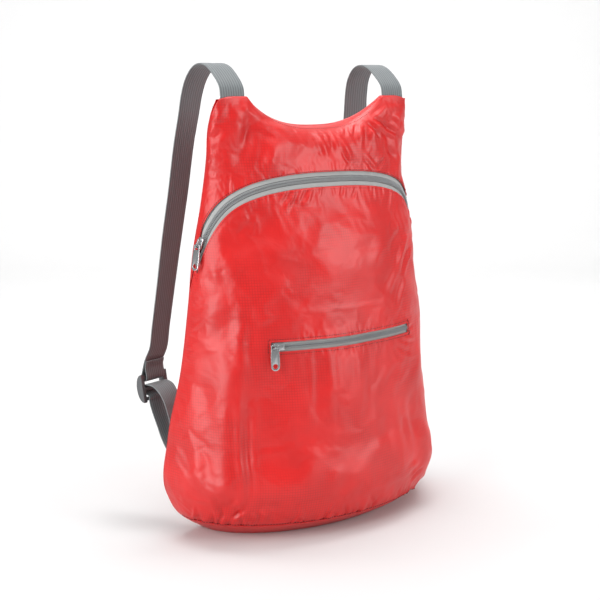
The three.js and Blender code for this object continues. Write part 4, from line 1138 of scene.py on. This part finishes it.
# One tape of a zip: a woven strip with a raised edge under the coil, parting beside the slider.
def zipTape(name, side):
    look = zipLooks[name]
    hidden = 5.0 * perMillimetre
    beyond = 0.0 if name == "main" else hidden
    across = np.linspace(look["first"] - beyond, look["last"] + beyond, 420)
    slider = np.array(look["slider"])
    perRun = runPerShare(look["line"], slider) * np.hypot(1, runSlope(look["line"], slider))
    closed = fadeIn(across - look["slider"], 1.0 / perRun, 4.5 / perRun)
    tuck = archTuck(across) if name == "main" else np.zeros(across.shape)
    opening = mix(1.7, 0.12, np.maximum(closed, tuck))
    # Offsets from the inner edge to the hidden one, with how far each row stands proud.
    rows = [(0.0, 0.55), (0.15, 0.05), (1.0, 0.0), (2.1, 0.0), (2.6, 0.22), (2.9, 0.25), (3.2, 0.05)]
    rows += [(r, 0.25) for r in np.linspace(3.8, look["shown"] / 2 + 4.5, 6)]
    points, uvs = [], []
    for off, inset in rows:
        a, z = zipPlace(look["line"], across, side * (opening + off * (1 - 0.6 * tuck)))
        points.append(frontPoint(a, z, tapeDepth + inset))
        run = runAlong(across, look["line"](across))
        uvs.append(np.stack([run, np.full(across.shape, side * off)], -1))
    points, uvs = np.swapaxes(np.array(points), 0, 1), np.swapaxes(np.array(uvs), 0, 1)
    faces = gridFaces(points.shape[0], points.shape[1])
    if side < 0:
        faces = [face[::-1] for face in faces]
    word = "upper" if side > 0 else "lower"
    return meshObject(f"{name}_zip_{word}_weave", points, faces, uvs, [look["tape"]])


# Two rows of interlocked nylon loops, flattened where they meet.
def zipCoil(name):
    look = zipLooks[name]
    stations = zipStations(look["line"], look["slider"], look["last"] - 0.002, tapeDepth)
    length = stations["run"][-1] - 2.5
    perTurn, sides = 12, 6
    points, faces = [], []
    for side in (-1, 1):
        turns = length / look["pitch"]
        phase = np.linspace(0, turns, int(turns * perTurn))
        run = 2.5 + phase * look["pitch"]
        angle = 2 * np.pi * (phase + (0.5 if side > 0 else 0.0))
        middle = look["coilHalf"] / 2 + 0.08
        y = side * (middle - (look["coilHalf"] / 2 - 0.08) * np.cos(angle))
        rise = 0.85 + 0.72 * np.sin(angle)
        found = atRun(stations, run)
        path = found["middle"] + found["side"] * y[:, None] + found["out"] * rise[:, None]
        across, out = framesAlong(path, found["out"] + 0.01 * found["side"])
        ring = np.linspace(0, 2 * np.pi, sides, endpoint=False)
        outline = np.stack([np.cos(ring), np.sin(ring)], -1) * look["wire"]
        tube = tubeGrid(path, across, out, outline)
        faces += tubeFaces(len(path), sides, sum(len(p) for p in points))
        points.append(tube.reshape(-1, 3))
    return meshObject(f"{name}_zip_loops", np.concatenate(points), faces, None, [look["coil"]])


# A stitch from end to end: the place as a share of its length, then its thickness and its height as
# shares of its radius.
stitchProfile = [
    (-0.5, 0.25, -0.35), (-0.36, 0.9, 0.1), (0.0, 1.0, 0.35), (0.36, 0.9, 0.1), (0.5, 0.25, -0.35),
]


# The rows of stitches in millimetres: from one stitch to the next, a stitch's length, its thread's
# radius, and how far the row runs off the edge it holds.
sewing = {
    "archLower": {"step": 2.8, "dash": 2.1, "radius": 0.22, "off": 1.6, "thread": redThread},
    # Rows in the near-black thread are partly painted shadow lines: over the zip under the yoke's edge,
    # round the welt, at the bar tack, under the neck's fold and over the bottom seam.
    "archUpper": {"step": 2.2, "dash": 1.7, "radius": 0.28, "off": 0.5, "thread": threadAndShade},
    "welt": {"step": 2.4, "dash": 1.7, "radius": 0.27, "off": 1.9, "thread": threadAndShade},
    "barTack": {"step": 1.1, "dash": 0.9, "radius": 0.42, "off": 0.9, "thread": threadAndShade},
    "neck": {"step": 2.4, "dash": 1.8, "radius": 0.2, "off": 2.6, "thread": threadAndShade},
    "bottom": {"step": 2.6, "dash": 2.1, "radius": 0.36, "off": 0.9, "thread": threadAndShade},
}


# A row of sewn stitches: short rounded dashes along a line on the cloth.
def stitches(name, row, across, z, table):
    step, dash, radius = row["step"], row["dash"], row["radius"]
    path, out = clothPath(across, z, table)
    run = np.concatenate([[0], np.cumsum(np.linalg.norm(np.diff(path, axis=0), axis=1))])
    sides = 5
    ring = np.linspace(0, 2 * np.pi, sides, endpoint=False)
    points, faces = [], []
    for start in np.arange(step / 2, run[-1] - dash, step):
        base = len(points)
        for share, thick, rise in stitchProfile:
            at = start + dash / 2 + share * dash
            p = np.array([np.interp(at, run, path[:, k]) for k in range(3)])
            o = np.array([np.interp(at, run, out[:, k]) for k in range(3)])
            q = np.array([np.interp(at + 0.2, run, path[:, k]) for k in range(3)])
            along = (q - p) / max(np.linalg.norm(q - p), 1e-9)
            side = np.cross(o, along)
            for angle in ring:
                lifted = o * (rise + thick * math.sin(angle)) * radius
                points.append(p + lifted + side * thick * math.cos(angle) * radius)
        faces += tubeFaces(len(stitchProfile), sides, base)
    return meshObject(name, np.array(points), faces, None, [row["thread"]])


def clothPath(across, z, table, inset=0.0):
    fine = fineHeight(table)
    path = frontPoint(across, z, inset, fine)
    beside = frontPoint(across + 0.002, z, inset, fine)
    above = frontPoint(across, z + 0.5, inset, fine)
    out = np.cross(beside - path, above - path)
    return path, out / np.linalg.norm(out, axis=1, keepdims=True)


def archStitches():
    row = sewing["archLower"]
    across = np.linspace(-0.99, 0.99, 1600)
    z = archEdge(across, -1, row["off"])
    return stitches("arch_lower_stitches", row, across, z, frontCreases)


def yokeStitches():
    row = sewing["archUpper"]
    across = np.linspace(-0.99, 0.99, 1600)
    z = archEdge(across, 1, row["off"])
    return stitches("arch_upper_stitches", row, across, z, yokeCreases)


# The box of stitches round the pocket zip.
def weltStitches():
    row = sewing["welt"]
    edge = slotHalf + row["off"]
    end = pocketEnd + row["off"] * perMillimetre
    long, short = 500, 40
    across = np.concatenate([
        np.linspace(-end, end, long), np.full(short, end),
        np.linspace(end, -end, long), np.full(short, -end),
    ])
    z = pocket["height"] + np.concatenate([
        np.full(long, -edge), np.linspace(-edge, edge, short),
        np.full(long, edge), np.linspace(edge, -edge, short),
    ])
    return stitches("welt_stitches", row, across, z, frontCreases)


for name in ("main", "pocket"):
    for side, word in ((-1, "lower"), (1, "upper")):
        build("zip_tape", lambda: zipTape(name, side), f"{name}_zip_{word}_tape")
    build("zip_coil", lambda: zipCoil(name), f"{name}_zip_coil")
build("ripstop_nylon", archStitches)
build("ripstop_nylon", yokeStitches)
build("ripstop_nylon", weltStitches)


# The close row of stitches that holds one end of the pocket's slot.
def barTack(end):
    row = sewing["barTack"]
    beyond = 3.4
    reach = slotHalf + beyond
    z = pocket["height"] + np.linspace(-reach, reach, 60)
    across = np.full(z.shape, end * (pocketEnd + row["off"] * perMillimetre))
    word = "right" if end > 0 else "left"
    return stitches(f"{word}_bar_tack", row, across, z, frontCreases)


build("ripstop_nylon", lambda: barTack(1))


# The row that closes the folded edge between the horns.
def neckStitches():
    row = sewing["neck"]
    reach, height = 60.0, 385.0
    across = np.linspace(shareAt(-reach, height), shareAt(reach, height), 900)
    return stitches("neck_stitches", row, across, topEdge(across) - row["off"], yokeCreases)


# The row just above the bottom seam.
def bottomStitches():
    row = sewing["bottom"]
    across = np.linspace(-0.985, 0.985, 1600)
    z = np.full(across.shape, bag["bottomSeam"] + row["off"])
    return stitches("bottom_stitches", row, across, z, frontCreases)


build("ripstop_nylon", neckStitches)
build("ripstop_nylon", bottomStitches)


# Straps in millimetres, the same routes as the CAD part's
strap = {
    "spacing": 179.0, "insert": 15.0, "rise": 30.0, "anchorSpacing": 240.0, "anchorHeight": 46.0,
    "sewn": 16.0, "foldBack": 16.0, "tailReach": 44.0, "tailDrop": 50.0, "tailTwist": 42.0,
    "lean": 27.0, "gap": 0.35, "plane": 2.6,
}
buckle = {
    "reach": 98.0, "height": 121.0, "tilt": 10.0, "turn": 18.0, "bar": 3.4, "barDepth": 3.0,
    "upperSlot": 7.4, "lowerSlot": 6.2,
}
upperRoute = {
    "out": [0.0, 0.0, 0.0, 0.02, 0.05, 0.1, 0.15, 0.2, 0.28, 0.38, 0.51, 0.64, 0.75, 0.84],
    "back": [0.02, 0.13, 0.25, 0.365, 0.48, 0.58, 0.63, 0.665, 0.72, 0.788, 0.847, 0.906, 0.96, 0.975],
    "drop": [0, 0, 0, 0, 0, 0, 0, 0.06, 0.163, 0.331, 0.49, 0.663, 0.814, 0.9],
    "rise": [0.3, 0.66, 0.9, 0.97, 0.85, 0.5, 0.07, 0, 0, 0, 0, 0, 0, 0],
    "turn": [0, 0, 0, 2, 4, 7, 9, 11, 12, 12, 13, 17, 18, 18],
}
lowerRoute = {"back": [0.12, 0.28, 0.43, 0.57, 0.7, 0.84], "up": [0.09, 0.16, 0.26, 0.4, 0.58, 0.78]}
tailRoute = {
    "forward": [0.18, 0.38, 0.57, 0.71, 0.8, 0.87, 0.93, 1.0],
    "down": [-0.02, 0.0, 0.09, 0.23, 0.4, 0.6, 0.8, 1.0],
}


# A centripetal curve through points, at equal steps, with its share of the points passed.
def catmull(points, count):
    points = np.array(points, float)
    ends = [2 * points[0] - points[1], *points, 2 * points[-1] - points[-2]]
    found, shares = [], []
    for i in range(len(points) - 1):
        p = [np.array(ends[i + k]) for k in range(4)]
        gaps = [max(np.linalg.norm(p[k + 1] - p[k]) ** 0.5, 1e-4) for k in range(3)]
        t1 = (p[1] - p[0]) / gaps[0] - (p[2] - p[0]) / (gaps[0] + gaps[1]) + (p[2] - p[1]) / gaps[1]
        t2 = (p[2] - p[1]) / gaps[1] - (p[3] - p[1]) / (gaps[1] + gaps[2]) + (p[3] - p[2]) / gaps[2]
        t1, t2 = t1 * gaps[1], t2 * gaps[1]
        for t in np.linspace(0, 1, 60, endpoint=i == len(points) - 2):
            c = [p[1], t1, -3 * p[1] + 3 * p[2] - 2 * t1 - t2, 2 * p[1] - 2 * p[2] + t1 + t2]
            found.append(c[0] + c[1] * t + c[2] * t * t + c[3] * t**3)
            shares.append((i + t) / (len(points) - 1))
    found = np.array(found)
    run = np.concatenate([[0], np.cumsum(np.linalg.norm(np.diff(found, axis=0), axis=1))])
    even = np.linspace(0, run[-1], count)
    curve = np.stack([np.interp(even, run, found[:, k]) for k in range(3)], -1)
    return curve, np.interp(even, run, shares)


def turned(degrees):
    angle = np.radians(degrees)
    return np.stack([np.cos(angle), np.sin(angle), np.zeros(np.shape(angle))], -1)


tilt, lean = math.radians(buckle["tilt"]), math.radians(strap["lean"])
buckleMiddle = np.array([-strap["anchorSpacing"] / 2, buckle["reach"], buckle["height"]])
buckleAcross, level = turned(buckle["turn"]), turned(buckle["turn"] + 90)
buckleBack = level * math.cos(tilt) + np.array([0, 0, -math.sin(tilt)])
buckleUp = level * math.sin(tilt) + np.array([0, 0, math.cos(tilt)])
topBar = buckle["bar"] + buckle["upperSlot"]
bottomBar = -(buckle["bar"] + buckle["lowerSlot"])
wrapRadius = math.hypot(buckle["barDepth"] / 2, buckle["bar"] / 2) + strap["gap"] + 0.8


def onBuckle(back, up):
    return buckleMiddle + buckleBack * back + buckleUp * up


def wrap(up, first, last, count):
    angles = np.radians(np.linspace(first, last, count))
    return [onBuckle(wrapRadius * math.cos(a), up + wrapRadius * math.sin(a)) for a in angles]


# Middles and across directions of the upper strap, from inside the corner to its sewn fold.
def upperStrapPath():
    x = -strap["spacing"] / 2
    inside = []
    for z in np.linspace(bag["height"] - strap["insert"], bag["height"], 12):
        seam = float(readSection("seam", np.array(z))) * bag["depth"]
        inside.append(np.array([x, seam - strap["plane"], z]))
    start, end = inside[-1], onBuckle(0, topBar)
    route = []
    for out, back, drop, rise in zip(*(upperRoute[k] for k in ("out", "back", "drop", "rise"))):
        route.append(np.array([
            mix(start[0], end[0], out), mix(start[1], end[1], back),
            mix(start[2], end[2], drop) + rise * strap["rise"],
        ]))

    def rear(up):
        back = wrapRadius * math.cos(lean) - up * math.sin(lean)
        return onBuckle(back, topBar + wrapRadius * math.sin(lean) + up * math.cos(lean))

    forward = onBuckle(0, topBar) - rear(0)
    forward /= np.linalg.norm(forward)
    path = [start, *route, rear(strap["foldBack"] * 0.9), rear(strap["foldBack"] * 0.3), rear(0)]
    curve, shares = catmull(path, 300)
    turns = [0, *upperRoute["turn"], *[buckle["turn"]] * 3]
    turns = np.interp(shares * (len(turns) - 1), np.arange(len(turns)), turns)
    around = wrap(topBar, strap["lean"], strap["lean"] - 180, 24)[1:]
    returned = []
    for up in np.linspace(0, strap["foldBack"], 16)[1:]:
        closed = float(fadeIn(up, 0, strap["foldBack"] * 0.75))
        returned.append(rear(up) + forward * mix(2 * wrapRadius, 1.6 + strap["gap"], closed))
    middles = np.array([*inside, *curve[1:], *around, *returned])
    across = [turned(0)] * len(inside) + list(turned(turns[1:]))
    across += [buckleAcross] * (len(around) + len(returned))
    return middles, np.array(across)


# Middles and across directions of the lower strap, from its sewn end to its loose tail.
def lowerStrapPath():
    x = -strap["anchorSpacing"] / 2
    half = webbing["width"] / 2

    def onBack(z):
        halfWidth = float(readSection("width", np.array(z))) * bag["width"] / 2
        outer, middle, inner = (backPoint(v / halfWidth, z) for v in (x - half, x, x + half))
        place = middle.copy()
        place[1] = max(middle[1], (outer[1] + inner[1]) / 2) + strap["gap"] + 0.8
        direction = inner - outer
        return place, direction / np.linalg.norm(direction)

    lowest = strap["anchorHeight"]
    sewn = [onBack(z) for z in np.linspace(lowest, lowest + strap["sewn"], 14)]
    foot = sewn[-1]
    entry = onBuckle(-wrapRadius, bottomBar - buckle["bar"] / 2)
    path = [foot[0]]
    for back, up in zip(lowerRoute["back"], lowerRoute["up"]):
        path.append(np.array([x, mix(foot[0][1], entry[1], back), mix(foot[0][2], entry[2], up)]))
    path += [entry, onBuckle(-wrapRadius, bottomBar + buckle["bar"] / 2)]
    path.append(onBuckle(0, bottomBar + buckle["bar"] / 2 + buckle["lowerSlot"] / 2))
    curve, _ = catmull(path, 120)
    share = fadeIn(np.linspace(0, 1, 120), 0, 0.6)[:, None]
    across = foot[1] * (1 - share) + buckleAcross * share
    around = wrap(0, -38, 60, 16)
    leave = onBuckle(-buckle["barDepth"] / 2, buckle["bar"] / 2 + strap["gap"] + 1.6)
    tail = []
    for forward, down in zip(tailRoute["forward"], tailRoute["down"]):
        tail.append(leave - np.array([0, forward * strap["tailReach"], down * strap["tailDrop"]]))
    looped, _ = catmull([around[-1], leave, *tail], 110)
    twist = turned(mix(buckle["turn"], strap["tailTwist"], smooth(np.linspace(0, 1, 110))))
    middles = np.array([*[s[0] for s in sewn], *curve[1:], *around, *looped[1:]])
    directions = [*[s[1] for s in sewn], *across[1:], *[buckleAcross] * len(around), *twist[1:]]
    return middles, np.array(directions)


# Ribbed webbing swept along a path: its outline has lengthwise ribs on both faces.
def strapMesh(name, path, mirrored):
    middles, directions = path
    along = np.gradient(middles, axis=0)
    along /= np.linalg.norm(along, axis=1, keepdims=True)
    across = directions - along * (directions * along).sum(axis=1, keepdims=True)
    across /= np.linalg.norm(across, axis=1, keepdims=True)
    face = np.cross(along, across)
    count = 61
    share = np.linspace(-1, 1, count)
    ribs = np.abs(np.cos(share * webbing["ribs"] * np.pi / 2)) ** 0.6
    edge = np.sqrt(np.clip(1 - np.abs(share) ** 24, 0, 1))
    thick = webbing["thickness"] / 2 * edge * 0.95 + 0.02 - webbing["ribDepth"] * (1 - ribs) * edge
    outline = [(share[i] * webbing["width"] / 2, thick[i]) for i in range(count)]
    outline += [(share[i] * webbing["width"] / 2, -thick[i]) for i in range(count - 2, 0, -1)]
    points = tubeGrid(middles, across, face, outline)
    run = np.concatenate([[0], np.cumsum(np.linalg.norm(np.diff(middles, axis=0), axis=1))])
    uvs = np.zeros(points.shape[:2] + (2,))
    uvs[:, :, 0] = np.array([p[0] for p in outline])[None]
    uvs[:, :, 1] = run[:, None]
    if mirrored:
        points = points * np.array([-1, 1, 1])
    rows, sides = points.shape[:2]
    faces = tubeFaces(rows, sides)
    if not mirrored:
        faces = [quad[::-1] for quad in faces]
    # Each end is closed between its two faces.
    for row in (0, rows - 1):
        for k in range(count - 1):
            a, b = row * sides + k, row * sides + k + 1
            c, d = row * sides + (sides - k - 1) % sides, row * sides + (sides - k) % sides
            quad = [a, b, c, d] if k else [a, b, c]
            if len(set(quad)) == len(quad):
                faces.append(quad if (row == 0) != mirrored else quad[::-1])
    return meshObject(name, points, faces, uvs, [ribbed])


# A copy of a CAD node with its edges rounded, so that they catch the light.
def rounded(name, node, material, width, angle=35):
    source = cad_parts[node]
    made = bpy.data.objects.new(name, source.data.copy())
    bpy.context.scene.collection.objects.link(made)
    made.data.materials.clear()
    made.data.materials.append(material)
    shape = bmesh.new()
    shape.from_mesh(made.data)
    bmesh.ops.remove_doubles(shape, verts=shape.verts, dist=1e-6)
    bmesh.ops.dissolve_limit(shape, angle_limit=math.radians(2), verts=shape.verts, edges=shape.edges)
    sharp = [e for e in shape.edges if len(e.link_faces) == 2 and e.calc_face_angle() > math.radians(angle)]
    bmesh.ops.bevel(
        shape, geom=sharp, offset=width * millimetre, segments=3, profile=0.5, affect="EDGES",
        clamp_overlap=True,
    )
    shape.to_mesh(made.data)
    shape.free()
    made.data.shade_smooth()
    return made


upper, lower = upperStrapPath(), lowerStrapPath()
for side in ("left", "right"):
    mirrored = side == "right"
    build("webbing", lambda: strapMesh(f"{side}_upper_webbing", upper, mirrored), f"{side}_upper_strap")
    build("webbing", lambda: strapMesh(f"{side}_lower_webbing", lower, mirrored), f"{side}_lower_strap")
    node = f"{side}_buckle"
    build("buckle_plastic", lambda: rounded(f"{side}_ladder_buckle", node, acetal, 0.55), node)

for name in ("main", "pocket"):
    node = f"{name}_zip_slider"
    build("zip_metal", lambda: rounded(f"{name}_slider_cast", node, plated, 0.25), node)
    puller = rounded(f"{name}_puller_plate", f"{name}_zip_puller", plated, 0.3)
    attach(puller, f"{name}_puller")
    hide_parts(f"{name}_zip_puller")

# Studio: a pale floor, a pale room and soft boxes
studio = {
    "floor": "#d4d4d4",
    "room": "#ffffff",
    "roomLight": 0.32,
    "wall": {"behind": 1.5, "bend": 0.7, "height": 3.0, "width": 7.0, "front": 4.0},
    "lights": [
        {"name": "left box", "at": (-1.9, -0.25, 0.75), "size": (1.3, 1.6), "power": 33},
        {"name": "right box", "at": (1.3, -2.0, 0.95), "size": (1.2, 1.4), "power": 26},
        {"name": "top box", "at": (0.1, -0.5, 1.9), "size": (1.6, 1.4), "power": 12},
        {
            "name": "wall box", "at": (0.2, 0.5, 2.4), "size": (2.4, 0.8), "power": 62,
            "aim": (1.0, 1.5, 0.5),
        },
    ],
}
camera = {
    "at": (-0.65896, -0.90483, 0.40416),
    "forward": (0.56864, 0.80401, -0.1738),
    "lens": 72.96,
    "sensor": 36.0,
}


def setStudio():
    # One sheet of paper runs under the bag and bends up behind it, square to the camera's direction.
    wall = studio["wall"]
    bends = [math.radians(a) for a in range(0, 91, 6)]
    profile = [(-wall["front"], 0.0)]
    behind, bend = wall["behind"], wall["bend"]
    profile += [(behind + bend * math.sin(a), bend * (1 - math.cos(a))) for a in bends]
    profile.append((behind + bend, wall["height"]))
    yaw = math.atan2(camera["forward"][0], camera["forward"][1])
    sides = [-wall["width"] / 2, wall["width"] / 2]
    sheet = [
        (s * math.cos(yaw) + far * math.sin(yaw), far * math.cos(yaw) - s * math.sin(yaw), up)
        for s in sides
        for far, up in profile
    ]
    floor = meshObject("floor", np.array(sheet) / millimetre, gridFaces(2, len(profile)))
    # Matt paper gives a plain pale ground with no glare.
    paper, _, _ = newMaterial(
        "Backdrop paper, matt", studio["floor"], Roughness=0.9, Specular_IOR_Level=0.1,
    )
    floor.data.materials.append(paper)
    world = bpy.data.worlds.new("pale room")
    bpy.context.scene.world = world
    world.use_nodes = True
    air = world.node_tree.nodes["Background"]
    air.inputs["Color"].default_value = linear(studio["room"])
    air.inputs["Strength"].default_value = studio["roomLight"]
    for light in studio["lights"]:
        data = bpy.data.lights.new(light["name"], "AREA")
        data.shape = "RECTANGLE"
        data.size, data.size_y = light["size"]
        data.energy = light["power"]
        lamp = bpy.data.objects.new(light["name"], data)
        bpy.context.scene.collection.objects.link(lamp)
        lamp.location = light["at"]
        aim = Vector(light.get("aim", (0, 0, 0.2))) - Vector(light["at"])
        lamp.rotation_euler = aim.to_track_quat("-Z", "Y").to_euler()


def setCamera():
    data = bpy.data.cameras.new("camera")
    data.lens = camera["lens"]
    data.sensor_width = camera["sensor"]
    data.clip_start = 0.01
    made = bpy.data.objects.new("camera", data)
    bpy.context.scene.collection.objects.link(made)
    made.location = camera["at"]
    made.rotation_euler = Vector(camera["forward"]).to_track_quat("-Z", "Y").to_euler()
    bpy.context.scene.camera = made
    # The photo's colours are plain ones, so nothing is toned down.
    bpy.context.scene.view_settings.view_transform = "Standard"


setStudio()
setCamera()
print("studio", len(studio["lights"]), "lights")
